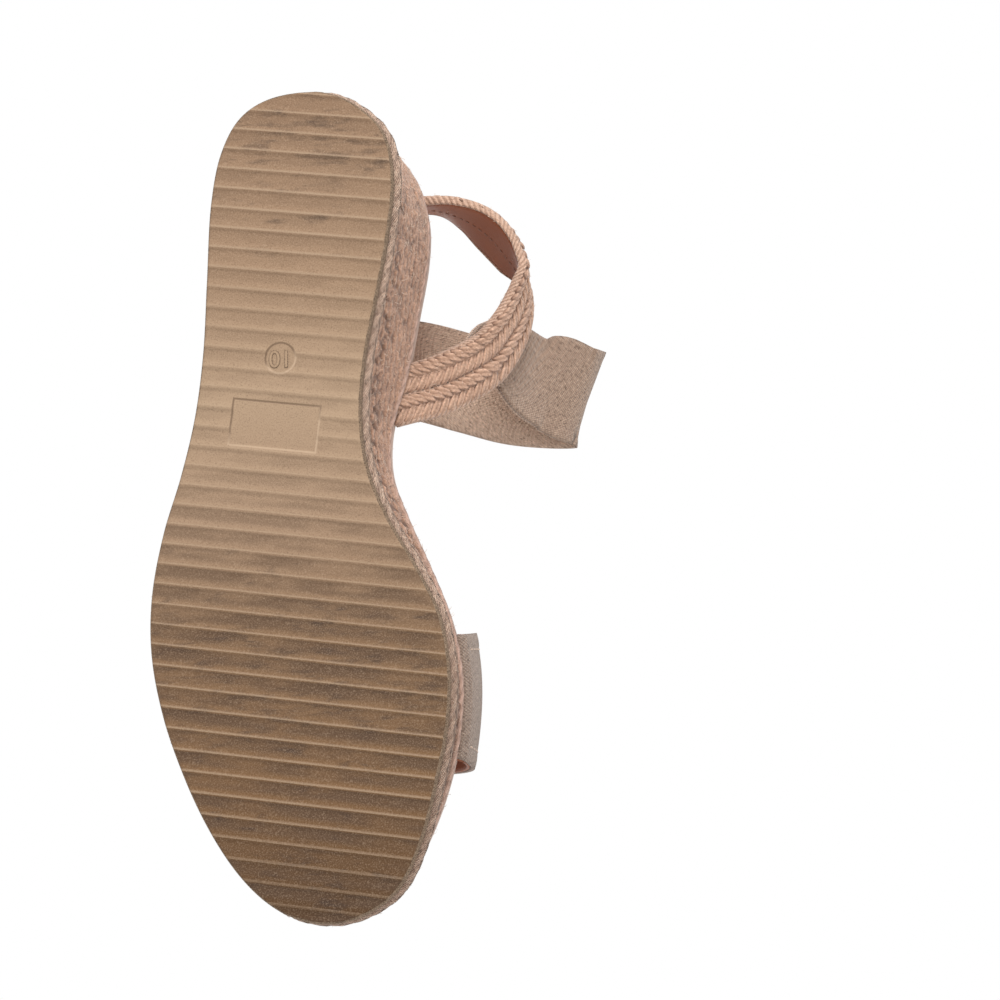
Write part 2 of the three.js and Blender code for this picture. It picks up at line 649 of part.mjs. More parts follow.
const strap = new THREE.Group();
for (const [name, section] of Object.entries(strapLayers)) {
  const look = name === 'lining' ? peach : braid;
  strap.add(piece(`inner_leg_${name}`, innerLeg(section), look));
  strap.add(piece(`outer_leg_${name}`, outerLeg(section), look));
  strap.add(piece(`sling_${name}`, sling(section), look));
}
strap.add(
  piece('instep_band_face', makeBandLayer(BAND_THICKNESS / 2 - BAND_FACE, BAND_THICKNESS / 2), linen),
  piece('instep_band_backing', makeBandLayer(-BAND_THICKNESS / 2, BAND_BACKING - BAND_THICKNESS / 2), linen),
);

sandal.add(sole, vamp, strap);

export default sandal;
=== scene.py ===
"""The looks of a left-foot wedge sandal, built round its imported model.

Lengths are in millimetres until a mesh is made. +Z is up, the toe points along -Y and -X is the inner side.
"""

import math

import bmesh
import bpy
import numpy as np
from mathutils import Matrix, Vector


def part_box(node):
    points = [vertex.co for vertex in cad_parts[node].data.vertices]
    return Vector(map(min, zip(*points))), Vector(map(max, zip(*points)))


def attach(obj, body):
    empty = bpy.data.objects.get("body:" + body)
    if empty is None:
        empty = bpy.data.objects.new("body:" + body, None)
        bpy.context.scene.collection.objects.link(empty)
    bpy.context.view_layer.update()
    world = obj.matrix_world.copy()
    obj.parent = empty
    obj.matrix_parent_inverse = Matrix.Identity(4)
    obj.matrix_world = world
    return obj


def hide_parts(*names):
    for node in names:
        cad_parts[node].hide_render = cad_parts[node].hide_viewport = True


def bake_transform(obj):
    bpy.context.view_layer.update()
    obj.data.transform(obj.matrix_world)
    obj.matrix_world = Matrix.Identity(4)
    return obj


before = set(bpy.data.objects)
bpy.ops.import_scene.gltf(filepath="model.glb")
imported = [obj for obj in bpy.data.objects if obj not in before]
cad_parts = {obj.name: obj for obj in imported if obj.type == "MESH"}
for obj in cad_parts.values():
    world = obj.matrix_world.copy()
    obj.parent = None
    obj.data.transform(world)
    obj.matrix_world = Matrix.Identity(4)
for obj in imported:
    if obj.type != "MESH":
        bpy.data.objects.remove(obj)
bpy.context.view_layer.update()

MM = 0.001
SEED = 7

# ---- Sizes of the sandal, as its model has them --------------------------------------------------

GAP = 0.3
SOLE_LOW, SOLE_HIGH = (np.array(corner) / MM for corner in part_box("outsole"))
SOLE_LENGTH = SOLE_HIGH[1] - SOLE_LOW[1]
BALL_WIDTH = 97.6
OUTSOLE_THICKNESS = 3.5
OUTSOLE_RIM = 1.2
TOE_SPRING = 8
TREAD_FLAT_END = -48
HEEL_HEIGHT = 55
BALL_HEIGHT = 19.5
RISE_START = -38
RISE_EARLINESS = 0.85
TOE_FOLLOW = 0.6
HEEL_LEAN = 3.5
TOE_LEAN = 0.6
ROPE_HEIGHT = 4.6
FOOTBED_TOP = 6.7
SOCK_INSET = 1
STRAP_WIDTH = 20
STRAP_ROOT_Y = 40
STRAP_THICKNESS = 4.2
STRAP_LINING = 1
BAND_WIDTH = 34
BAND_THICKNESS = 2.3

VAMP_INNER_SIDE = {"rear": -42, "front": -82}
VAMP_OUTER_SIDE = {"rear": -32, "front": -72}
VAMP_HEADROOM = {"rear": 45, "front": 34}
VAMP_FRONT_REACH = 9
VAMP_LINEN = 1.3
VAMP_LINING = 0.9
VAMP_THICKNESS = VAMP_LINEN + GAP + VAMP_LINING

SOLE_INNER = [
    (0, -0.03), (0.015, -0.165), (0.052, -0.272), (0.105, -0.307), (0.187, -0.287), (0.258, -0.251),
    (0.329, -0.215), (0.392, -0.202), (0.459, -0.225), (0.519, -0.292), (0.579, -0.389), (0.635, -0.466),
    (0.698, -0.5), (0.762, -0.495), (0.833, -0.456), (0.904, -0.4), (0.963, -0.312), (0.993, -0.184),
    (1, -0.082),
]
SOLE_OUTER = [
    (0, -0.03), (0.004, 0.082), (0.024, 0.195), (0.071, 0.272), (0.134, 0.305), (0.232, 0.317),
    (0.321, 0.328), (0.396, 0.354), (0.467, 0.4), (0.534, 0.456), (0.609, 0.494), (0.676, 0.495),
    (0.751, 0.456), (0.822, 0.389), (0.893, 0.297), (0.956, 0.174), (0.991, 0.041), (1, -0.082),
]
TOP_INNER = [
    (0, -0.01), (0.008, -0.123), (0.03, -0.215), (0.068, -0.287), (0.123, -0.328), (0.176, -0.328),
    (0.241, -0.307), (0.32, -0.282), (0.4, -0.242), (0.453, -0.256), (0.506, -0.318), (0.567, -0.4),
    (0.631, -0.476), (0.696, -0.515), (0.768, -0.512), (0.836, -0.472), (0.901, -0.405), (0.958, -0.308),
    (0.992, -0.195), (1, -0.082),
]
TOP_OUTER = [
    (0, -0.01), (0.008, 0.113), (0.036, 0.225), (0.085, 0.302), (0.146, 0.336), (0.222, 0.343),
    (0.313, 0.354), (0.389, 0.374), (0.461, 0.415), (0.529, 0.471), (0.605, 0.509), (0.673, 0.51),
    (0.749, 0.471), (0.821, 0.405), (0.891, 0.307), (0.956, 0.179), (0.992, 0.041), (1, -0.082),
]
VAMP_ARCH = [
    (-1, -0.02), (-1.03, 0.12), (-1.02, 0.32), (-0.9, 0.6), (-0.64, 0.85), (-0.26, 0.985),
    (0.13, 0.99), (0.52, 0.85), (0.82, 0.6), (0.98, 0.32), (1.02, 0.12), (1, -0.02),
]

# A route point is (share across the footbed at the roots, distance behind the roots, height above
# the footbed there), with the direction from the ribbon's middle to its rear or lower edge.
STRAP_ROUTE = [
    ((-0.01, 0, -3.6), (-3.5, 19, 6)),
    ((-0.118, 2.4, 0.5), (0, 19.4, 1)),
    ((-0.232, 6, 4.6), (5.2, 18.6, -8.2)),
    ((-0.404, 13.6, 9.2), (6.7, 14.2, -13.1)),
    ((-0.494, 21.8, 11.4), (6.4, 9.6, -16.6)),
    ((-0.548, 30.4, 13.0), (4.8, 4.3, -18.8)),
    ((-0.567, 38.4, 13.8), (0.9, 0.1, -19.6)),
    ((-0.55, 45.5, 13.7), (-7, -1.5, -18.3)),
    ((-0.482, 51.4, 13.3), (-11, 2, -16)),
    ((-0.366, 59.6, 12.6), (-11.7, 4, -15.2)),
    ((-0.205, 66.6, 12.2), (-9.5, 1.5, -17.3)),
    ((-0.027, 70.2, 12.4), (-5.5, -0.8, -18.8)),
    ((0.238, 68.6, 12.4), (-2, 0, -19.7)),
    ((0.48, 61, 12.3), (2, 3, -19.5)),
    ((0.657, 48, 12.3), (5, 5, -18.8)),
    ((0.778, 33, 12.5), (7, 7, -17.5)),
    ((0.858, 19, 11.6), (8, 11, -14.5)),
    ((0.939, 9.5, 8.8), (6, 16, -10)),
    ((1.011, 3, 4.6), (2.5, 19, -4)),
    ((1.037, 0.5, 0), (0, 19.5, 3)),
    ((1.026, 0, -5.8), (-1.4, 19, 6)),
]
BAND_ROUTE = [
    ((-0.328, 13.3, 11.6), (5, 16, -10)),
    ((-0.388, 18, 15.2), (5, 15, -10)),
    ((-0.47, 16.5, 22.8), (3, 18, -5)),
    ((-0.583, 10.4, 31.6), (-1, 23, 2)),
    ((-0.696, 8, 36.1), (-7, 27, 0)),
    ((-0.808, 4.7, 40.9), (-11, 30, -1)),
    ((-0.85, 4.3, 45.1), (-11, 30, -1)),
    ((-0.8, 4.3, 49), (-10, 31, -1)),
    ((-0.663, 4.3, 49.2), (-8, 34, -2)),
    ((-0.44, 5.4, 45.0), (-3, 37, -3)),
    ((-0.216, 8.9, 39.3), (-2, 37, -3)),
    ((0.06, 13.2, 31.4), (0, 38, -4)),
    ((0.335, 15, 25.7), (1, 38, -6)),
    ((0.56, 15, 20.2), (3, 36, -9)),
    ((0.715, 14.5, 14.3), (6, 24, -14)),
    ((0.792, 15.5, 8.2), (7, 15, -13)),
]
BAND_TAPER = [0.5, 0.56, 0.7, 0.88, 1, 1, 1, 1, 1, 1, 1, 1, 1, 0.92, 0.74, 0.58]
BEYOND_STEP = 10                # past its ends a ribbon runs on this far for each route index

# ---- Sizes of what is only looks -----------------------------------------------------------------

RIB_PITCH = 6.57
RIB_DEPTH = 0.7
RIB_DROP = 0.16                 # the share of the pitch taken by a rib's steep side
RIB_HOLLOWING = 1.15
RIB_SLANT = math.tan(math.radians(-6.6))
RIB_START = 1.0
PLATE_CENTRE = (8, 25)
PLATE_SIZE = (29.4, 15.2)
ROUNDEL_CENTRE = (6.2, 46.9)
ROUNDEL_RADIUS = 5
SUNK_DEPTH = 0.55
SUNK_BEVEL = 0.35
SIZE_MARK_HEIGHT = 7.8
SOLE_SIDE = [                   # height over the tread and flare past its edge
    (0.9, 0.3), (2.2, 0.65), (OUTSOLE_THICKNESS - 0.3, 0.65), (OUTSOLE_THICKNESS, 0.2),
]

CORD_PITCH = 3.4
CORD_RELIEF = 0.6
CORD_TWIST = 4.6
WALL_THICKNESS = 2.9
SLIT_PITCH = 3.9
GAP_DEPTH = 0.7                 # of the dark holes between the cords
EDGE_CORD_RADIUS = 1.5
EDGE_ROPE_RADIUS = 2.5
EDGE_ROPE_SHIFT = 1.2           # the rope stands out this much further on the inner side

PRESSED_DEPTH = 0.75            # the footbed gives this much under the heel and the ball
PRESSED_PLACES = [(92, 1), (-52, 0.8)]
PRESSED_REACH = 26
SOCK_STITCH_INSET = 4.2
TUCK = 1.7                      # the vamp's ends run in under the footbed by this much
TUCK_RISE = 2.5

PLAIT_PITCH = 3.2
PLY_DEPTH = 0.13                # how deep the furrows between a yarn's plies are, in shares of its radius
WALL_FUZZ = 260000              # loose fibres on each square metre
ROPE_FUZZ = 50000
BRAID_FUZZ = 60000
STITCH_LENGTH = 2.2
STITCH_GAP = 0.5
ABOVE = 0.02                    # a stitch lies this much over its surface

# ---- The sandal's surfaces -----------------------------------------------------------------------


def edge_curve(points):
    """Half width at a share of the length, smooth in the angle whose cosine steps along the shoe."""
    angle = [math.acos(1 - 2 * share) for share, _ in points]
    width = [share * BALL_WIDTH for _, share in points]
    last = len(points) - 1

    def at(share):
        t = math.acos(1 - 2 * min(max(share, 0), 1))
        i = min(max(int(np.searchsorted(angle, t, side="right")), 1), last)
        half = (angle[i] - angle[i - 1]) / 2
        before = half / (angle[i - 1] - angle[i - 2]) if i > 1 else -0.5
        after = half / (angle[i + 1] - angle[i]) if i < last else -0.5
        p = (t - angle[i - 1]) / (2 * half)
        weights = (
            before * (-(p**3) + 2 * p**2 - p),
            (1 + before) * p**3 + (-1.5 - 2 * before) * p**2 + (-0.5 + before) * p + 1,
            (-1 - after) * p**3 + (1.5 + after) * p**2 + 0.5 * p,
            after * (p**3 - p**2),
        )
        nodes = (i - 2 if i > 1 else i, i - 1, i, i + 1 if i < last else i - 1)
        return sum(w * width[n] for w, n in zip(weights, nodes))

    return at


HEEL_TIP = SOLE_LENGTH / 2
TOE_TIP = -SOLE_LENGTH / 2
SOLE_OUTLINE = (edge_curve(SOLE_INNER), edge_curve(SOLE_OUTER), HEEL_TIP, TOE_TIP)
TOP_OUTLINE = (edge_curve(TOP_INNER), edge_curve(TOP_OUTER), HEEL_TIP - HEEL_LEAN, TOE_TIP + TOE_LEAN)


def edge_x(outline, side, y):
    inner, outer, heel, toe = outline
    return (inner if side == "inner" else outer)((heel - y) / (heel - toe))


def outline_ring(outline, stations):
    """Points from the heel tip down the inner side to the toe tip and back up the outer side."""
    inner, outer, heel, toe = outline
    shares = (1 - np.cos(np.pi * np.arange(stations + 1) / stations)) / 2
    down = [(inner(s), heel + (toe - heel) * s) for s in shares]
    up = [(outer(s), heel + (toe - heel) * s) for s in shares[-2:0:-1]]
    return np.array(down + up)


def ring_outward(ring):
    """Outward normals of a ring of points in plan."""
    ahead, behind = np.roll(ring, -1, axis=0), np.roll(ring, 1, axis=0)
    along = ahead - behind
    normal = np.stack([-along[:, 1], along[:, 0]], axis=1) * -1
    normal = normal / np.linalg.norm(normal, axis=1)[:, None]
    outwards = np.sign((normal * (ring - ring.mean(axis=0))).sum())
    return normal * outwards


def tread_z(y):
    share = np.maximum(0, (TREAD_FLAT_END - y) / (TREAD_FLAT_END - TOE_TIP))
    return TOE_SPRING * share**2


def wall_foot_z(y):
    return tread_z(y) + OUTSOLE_THICKNESS + GAP


def wrap_top_z(y):
    along = np.clip((y - RISE_START) / (HEEL_TIP - RISE_START), 0, 1) ** RISE_EARLINESS
    rise = along * along * (3 - 2 * along)
    return BALL_HEIGHT + (HEEL_HEIGHT - BALL_HEIGHT) * rise + TOE_FOLLOW * tread_z(y)


def footbed_z(y):
    return wrap_top_z(y) + FOOTBED_TOP


def smooth_path(points, t):
    """A centripetal Catmull-Rom curve through the points, at t from 0 to 1."""
    points = np.asarray(points, float)
    place = min(max(t, 0), 1) * (len(points) - 1)
    i = min(int(place), len(points) - 2)
    w = place - i
    p1, p2 = points[i], points[i + 1]
    p0 = points[i - 1] if i > 0 else 2 * p1 - p2
    p3 = points[i + 2] if i + 2 < len(points) else 2 * p2 - p1
    d0, d1, d2 = (max(math.sqrt(np.linalg.norm(b - a)), 1e-6) for a, b in ((p0, p1), (p1, p2), (p2, p3)))
    m1 = ((p1 - p0) / d0 - (p2 - p0) / (d0 + d1) + (p2 - p1) / d1) * d1
    m2 = ((p2 - p1) / d1 - (p3 - p1) / (d1 + d2) + (p3 - p2) / d2) * d1
    return p1 + m1 * w + (-3 * p1 + 3 * p2 - 2 * m1 - m2) * w**2 + (2 * p1 - 2 * p2 + m1 + m2) * w**3


ROOT_INNER_X = edge_x(TOP_OUTLINE, "inner", STRAP_ROOT_Y)
ROOT_OUTER_X = edge_x(TOP_OUTLINE, "outer", STRAP_ROOT_Y)


class Route:
    """The middle line and the lie of a ribbon."""

    def __init__(self, points):
        self.count = len(points) - 1
        self.middle = [self.place(*place) for place, _ in points]
        self.edge = [np.array(way) / np.linalg.norm(way) for _, way in points]
        fine = np.linspace(0, self.count, 40 * self.count + 1)
        line = np.array([smooth_path(self.middle, t / self.count) for t in fine])
        self.fine = fine
        self.run = np.concatenate([[0], np.cumsum(np.linalg.norm(np.diff(line, axis=0), axis=1))])

    @staticmethod
    def place(across, behind, above):
        y = STRAP_ROOT_Y + behind
        return np.array([ROOT_INNER_X + (ROOT_OUTER_X - ROOT_INNER_X) * across, y, footbed_z(y) + above])

    def frame(self, index):
        """Middle, direction along, direction to the rear edge and direction out, at a route index.

        Past either end the ribbon runs straight on, BEYOND_STEP for each index."""
        t, step = min(max(index / self.count, 0), 1), 1e-4
        middle = smooth_path(self.middle, t)
        along = smooth_path(self.middle, min(t + step, 1)) - smooth_path(self.middle, max(t - step, 0))
        along = along / np.linalg.norm(along)
        middle = middle + along * BEYOND_STEP * (index - t * self.count)
        edge = smooth_path(self.edge, t)
        edge = edge - along * (edge @ along)
        edge = edge / np.linalg.norm(edge)
        return middle, along, edge, np.cross(along, edge)

    def distance(self, index):
        beyond = index - min(max(index, 0), self.count)
        return float(np.interp(index, self.fine, self.run)) + BEYOND_STEP * beyond

    def index(self, distance):
        beyond = distance - min(max(distance, 0), self.run[-1])
        return float(np.interp(distance, self.run, self.fine)) + beyond / BEYOND_STEP


strap_route = Route(STRAP_ROUTE)
band_route = Route(BAND_ROUTE)

# ---- Materials -----------------------------------------------------------------------------------


class Look:
    """A material whose nodes are added one after another."""

    def __init__(self, name, roughness, sheen=0.0, specular=0.3):
        self.material = bpy.data.materials.new(name)
        self.material.use_nodes = True
        self.tree = self.material.node_tree
        self.shader = self.tree.nodes["Principled BSDF"]
        self.shader.inputs["Roughness"].default_value = roughness
        self.shader.inputs["Sheen Weight"].default_value = sheen
        self.shader.inputs["Sheen Roughness"].default_value = 0.6
        self.shader.inputs["Specular IOR Level"].default_value = specular
        self.coordinates = self.tree.nodes.new("ShaderNodeTexCoord")

    def set(self, socket, value):
        if hasattr(value, "is_output"):
            self.tree.links.new(value, socket)
        elif value is not None:
            socket.default_value = value

    def place(self, scale, source="Object", turn=0.0):
        """Coordinates in millimetres, times the scale."""
        mapping = self.tree.nodes.new("ShaderNodeMapping")
        factor = 1 / MM if source == "Object" else 1
        mapping.inputs["Scale"].default_value = [s * factor for s in scale]
        mapping.inputs["Rotation"].default_value = (0, 0, turn)
        self.set(mapping.inputs["Vector"], self.coordinates.outputs[source])
        return mapping.outputs["Vector"]

    def noise(self, vector, scale, detail=3.0, roughness=0.55):
        node = self.tree.nodes.new("ShaderNodeTexNoise")
        node.inputs["Scale"].default_value = scale
        node.inputs["Detail"].default_value = detail
        node.inputs["Roughness"].default_value = roughness
        self.set(node.inputs["Vector"], vector)
        return node.outputs["Fac"]

    def cells(self, vector, scale):
        node = self.tree.nodes.new("ShaderNodeTexVoronoi")
        node.inputs["Scale"].default_value = scale
        self.set(node.inputs["Vector"], vector)
        return node.outputs["Distance"]

    def wave(self, vector, scale, direction="X", distortion=0.0):
        node = self.tree.nodes.new("ShaderNodeTexWave")
        node.bands_direction = direction
        node.inputs["Scale"].default_value = scale
        node.inputs["Distortion"].default_value = distortion
        node.inputs["Detail"].default_value = 1.0
        self.set(node.inputs["Vector"], vector)
        return node.outputs["Fac"]

    def maths(self, operation, a, b=None, c=None):
        node = self.tree.nodes.new("ShaderNodeMath")
        node.operation = operation
        for socket, value in zip(node.inputs, (a, b, c)):
            self.set(socket, value)
        return node.outputs[0]

    def spread(self, value, low, high, to_low=0.0, to_high=1.0):
        node = self.tree.nodes.new("ShaderNodeMapRange")
        node.interpolation_type = "SMOOTHSTEP"
        for socket, given in zip(node.inputs, (value, low, high, to_low, to_high)):
            self.set(socket, given)
        return node.outputs[0]

    def attribute(self, name):
        node = self.tree.nodes.new("ShaderNodeAttribute")
        node.attribute_name = name
        return node.outputs["Fac"]

    def axis(self, vector, which):
        node = self.tree.nodes.new("ShaderNodeSeparateXYZ")
        self.set(node.inputs[0], vector)
        return node.outputs[which]

    def mix(self, share, a, b, blend="MIX"):
        node = self.tree.nodes.new("ShaderNodeMix")
        node.data_type = "RGBA"
        node.blend_type = blend
        for socket, value in ((node.inputs[0], share), (node.inputs[6], a), (node.inputs[7], b)):
            self.set(socket, (*value, 1) if isinstance(value, tuple) else value)
        return node.outputs[2]

    def ramp(self, value, stops):
        node = self.tree.nodes.new("ShaderNodeValToRGB")
        elements = node.color_ramp.elements
        for element in list(elements)[1:]:
            elements.remove(element)
        elements[0].position, elements[0].color = stops[0][0], (*stops[0][1], 1)
        for place, colour in stops[1:]:
            elements.new(place).color = (*colour, 1)
        self.set(node.inputs[0], value)
        return node.outputs[0]

    def bump(self, height, distance, after=None, strength=1.0):
        node = self.tree.nodes.new("ShaderNodeBump")
        node.inputs["Distance"].default_value = distance * MM
        node.inputs["Strength"].default_value = strength
        self.set(node.inputs["Height"], height)
        if after is not None:
            self.set(node.inputs["Normal"], after)
        return node.outputs[0]

    def finish(self, colour, normal=None, roughness=None):
        self.set(self.shader.inputs["Base Color"], (*colour, 1) if isinstance(colour, tuple) else colour)
        if normal is not None:
            self.set(self.shader.inputs["Normal"], normal)
        if roughness is not None:
            self.set(self.shader.inputs["Roughness"], roughness)
        return self.material


def roundel_edge(look, here):
    """Distance from the roundel's edge, and how far round to its shaded side a place lies."""
    x = look.maths("SUBTRACT", look.axis(here, "X"), ROUNDEL_CENTRE[0])
    y = look.maths("SUBTRACT", look.axis(here, "Y"), ROUNDEL_CENTRE[1])
    squares = look.maths("ADD", look.maths("MULTIPLY", x, x), look.maths("MULTIPLY", y, y))
    away = look.maths("SUBTRACT", look.maths("SQRT", squares), ROUNDEL_RADIUS)
    shaded = look.maths("ADD", y, look.maths("MULTIPLY", x, 0.4))
    return look.maths("ABSOLUTE", away), look.spread(shaded, -2.5, 1.5)


def plate_edge(look, here):
    """Distance from the plate's edge, and how far round to its shaded side a place lies."""
    x = look.maths("SUBTRACT", look.axis(here, "X"), PLATE_CENTRE[0])
    y = look.maths("SUBTRACT", look.axis(here, "Y"), PLATE_CENTRE[1])
    across = look.maths("MULTIPLY_ADD", y, -RIB_SLANT, x)
    ahead = look.maths("MULTIPLY_ADD", x, RIB_SLANT, y)
    side = look.maths("SUBTRACT", look.maths("ABSOLUTE", across), PLATE_SIZE[0] / 2)
    end = look.maths("SUBTRACT", look.maths("ABSOLUTE", ahead), PLATE_SIZE[1] / 2)
    shaded = look.maths("ADD", ahead, look.maths("MULTIPLY", across, 0.35))
    return look.maths("ABSOLUTE", look.maths("MAXIMUM", side, end)), look.spread(shaded, -4, 5)


def tread_rubber():
    """Cast rubber, paler at the waist, with grime and painted shade in the rib valleys, painted highlights
    on the crests and round the sunk marks, and scuffed patches at heel and ball.
    """
    look = Look("tread_rubber", 0.78, specular=0.15)
    here = look.place((1, 1, 1))
    y = look.axis(here, "Y")
    along = look.maths("DIVIDE", look.maths("ADD", y, -TOE_TIP), SOLE_LENGTH)
    ground = look.ramp(along, [
        (0.0, (0.075, 0.036, 0.014)), (0.16, (0.175, 0.094, 0.043)), (0.34, (0.2, 0.117, 0.063)),
        (0.48, (0.315, 0.208, 0.133)), (0.62, (0.37, 0.257, 0.167)), (0.78, (0.29, 0.188, 0.117)),
        (1.0, (0.235, 0.145, 0.088)),
    ])
    patches = look.noise(look.place((0.035, 0.11, 0.05)), 1.0, 4.0)
    rib = look.attribute("rib")
    # Painted shade and grime in each rib's valley behind its crest, patchy and stronger towards the toe.
    valley = look.spread(look.maths("ADD", rib, look.maths("MULTIPLY", patches, 0.4)), 0.55, 1.02, 0.8, 0.0)
    dirt_and_shade = look.maths("MULTIPLY", valley, look.spread(patches, 0.34, 0.6, 0.3, 1.0))
    toe_ward_weight = look.spread(along, 0.62, 0.3, 0.3, 1.0)
    dirt_and_shade = look.maths("MULTIPLY", dirt_and_shade, toe_ward_weight)
    colour = look.mix(dirt_and_shade, ground, (0.085, 0.05, 0.031))
    streaks = look.noise(look.place((0.06, 0.28, 0.05)), 1.0, 5.0, 0.65)
    heel = look.spread(along, 0.84, 0.93)
    ball = look.maths("MULTIPLY", look.spread(along, 0.16, 0.24), look.spread(along, 0.42, 0.33))
    scuffs = look.spread(streaks, 0.48, 0.68, 0.0, 0.6)
    scuffed = look.maths("MULTIPLY", look.maths("MAXIMUM", heel, ball), scuffs)
    colour = look.mix(scuffed, colour, (0.06, 0.038, 0.028))
    spots = look.noise(look.place((0.05, 0.17, 0.1)), 1.0, 5.0, 0.65)
    spots = look.spread(spots, 0.56, 0.72, 0.0, 0.6)
    trodden = look.maths("MAXIMUM", look.spread(along, 0.74, 0.88), look.spread(along, 0.5, 0.38))
    spots = look.maths("MULTIPLY", spots, trodden)
    colour = look.mix(spots, colour, (0.035, 0.024, 0.022))
    grain = look.noise(here, 2.1, 3.0, 0.8)
    colour = look.mix(look.spread(grain, 0.47, 0.75, 0.0, 0.5), colour, (0.4, 0.29, 0.2))
    colour = look.mix(look.spread(grain, 0.5, 0.27, 0.0, 0.5), colour, (0.075, 0.047, 0.03))
    # Painted highlight along each rib's crest, broken up by the grain.
    crest = look.spread(rib, 0.8, 0.97, 0.0, 0.6)
    crest = look.maths("MULTIPLY", crest, look.spread(grain, 0.3, 0.5, 0.5, 1.0))
    colour = look.mix(crest, colour, (0.44, 0.315, 0.215))
    # Painted highlight and painted shade along the edges of the sunk roundel and plate: pale on the lit
    # side, dark on the shaded side.
    for distance, shaded in (roundel_edge(look, here), plate_edge(look, here)):
        line = look.spread(distance, 0.5, 0.12)
        edge_highlight_and_shade = look.mix(shaded, (0.47, 0.34, 0.235), (0.088, 0.052, 0.032))
        colour = look.mix(look.maths("MULTIPLY", line, 0.6), colour, edge_highlight_and_shade)
    normal = look.bump(grain, 0.14, strength=0.6)
    return look.finish(colour, normal)


def rim_rubber():
    """The outsole's cut side: darker and granular."""
    look = Look("rim_rubber", 0.85)
    here = look.place((1, 1, 1))
    grain = look.noise(here, 2.2, 3.0, 0.7)
    colour = look.mix(look.spread(grain, 0.35, 0.65), (0.085, 0.054, 0.033), (0.3, 0.21, 0.14))
    return look.finish(colour, look.bump(grain, 0.3))


def jute(name, pale, mid, dark, stretch=(0.25, 1.6, 1), fleck=0.5, relief=0.35, **extras):
    """Jute fibre: colour streaked along the yarn, with painted shade in its hollows and pale fibres that
    carry painted glints.

    The extras are toe_shade, how much darker it is at the toe, and ply with ply_turn, the pitch in
    millimetres and the slant in degrees of the furrows between its plies.
    """
    look = Look(name, 0.88, sheen=0.25, specular=0.2)
    here = look.place(stretch, "UV")
    streaks = look.noise(here, 1.6, 5.0, 0.65)
    patches = look.noise(look.place((0.12, 0.12, 0.12)), 1.0, 3.0)
    colour = look.mix(look.spread(streaks, 0.36, 0.64), mid, pale)
    colour = look.mix(look.spread(patches, 0.4, 0.66, 0.0, 0.35), colour, tuple(0.85 * c for c in mid))
    specks = look.noise(look.place((1, 1, 0.45)), 1.25, 3.0, 0.75)
    # Painted highlight: specks paler than the pale fibre, as glints of light.
    painted_glint = tuple(min(1, 1.35 * c) for c in pale)
    colour = look.mix(look.spread(specks, 0.56, 0.66, 0.0, fleck), colour, painted_glint)
    colour = look.mix(look.spread(specks, 0.45, 0.34, 0.0, 0.8 * fleck), colour, dark)
    # Painted shade: darker wherever the mesh marks hollows, furrows or tucked-in ends.
    hollow_shade = look.attribute("hollow_shade")
    colour = look.mix(look.maths("MULTIPLY", hollow_shade, 0.85), colour, dark)
    if "toe_shade" in extras:
        y = look.axis(look.place((1, 1, 1)), "Y")
        colour = look.mix(look.spread(y, -20, -70, 0.0, extras["toe_shade"]), colour, dark)
    normal = look.bump(streaks, relief)
    normal = look.bump(specks, 0.6 * relief, normal)
    if "ply" in extras:
        slanted = look.place((1, 1, 1), "UV", math.radians(extras["ply_turn"]))
        furrow = look.wave(slanted, math.pi / (10 * extras["ply"]), "X", 0.8)
        # Painted shade in the furrows between the plies.
        colour = look.mix(look.spread(furrow, 0.45, 0.0, 0.0, 0.55), colour, dark)
        normal = look.bump(furrow, 0.3, normal)
    return look.finish(colour, normal)


def linen(name, pale, mid, dark, pitch, heather=0.5, relief=0.3):
    """A plain weave whose threads cross at the given pitch, along the piece's own UV map."""
    look = Look(name, 0.92, sheen=0.3, specular=0.15)
    here = look.place((1, 1, 1), "UV")
    scale = math.pi / (10 * pitch)
    wobble = look.noise(here, 0.9, 2.0)
    warp = look.wave(here, scale, "X", 0.5)
    weft = look.wave(here, scale, "Y", 0.5)
    over = look.maths("ABSOLUTE", look.maths("SUBTRACT", warp, weft))
    threads = look.maths("MAXIMUM", look.noise(look.place((0.2, 2.2, 1), "UV"), 1.2, 3.0),
                         look.noise(look.place((2.2, 0.2, 1), "UV"), 1.2, 3.0))
    colour = look.mix(look.spread(threads, 0.5, 0.72), mid, pale)
    specks = look.noise(look.place((1, 1, 1), "UV"), 0.9, 3.0, 0.75)
    colour = look.mix(look.spread(specks, 0.48, 0.34, 0.0, heather), colour, dark)
    colour = look.mix(look.spread(specks, 0.54, 0.68, 0.0, heather), colour, tuple(1.25 * c for c in pale))
    colour = look.mix(look.spread(over, 0.4, 0.0, 0.0, 0.32), colour, dark)
    colour = look.mix(look.spread(wobble, 0.6, 0.75, 0.0, 0.3), colour, pale)
    normal = look.bump(over, relief)
    normal = look.bump(specks, 0.5 * relief, normal)
    return look.finish(colour, normal)


def lining_leather():
    """Smooth peach-brown lining with a fine grain."""
    look = Look("lining_leather", 0.5, specular=0.2)
    here = look.place((1, 1, 1))
    grain = look.cells(here, 1.6)
    tone = look.noise(here, 0.09, 3.0)
    colour = look.mix(look.spread(tone, 0.35, 0.68), (0.26, 0.093, 0.049), (0.29, 0.108, 0.058))
    pores = look.spread(look.noise(here, 1.4, 4.0), 0.5, 0.7, 0.0, 0.25)
    colour = look.mix(pores, colour, (0.2, 0.075, 0.041))
    normal = look.bump(grain, 0.12, strength=0.5)
    return look.finish(colour, normal, look.spread(tone, 0.3, 0.7, 0.5, 0.65))


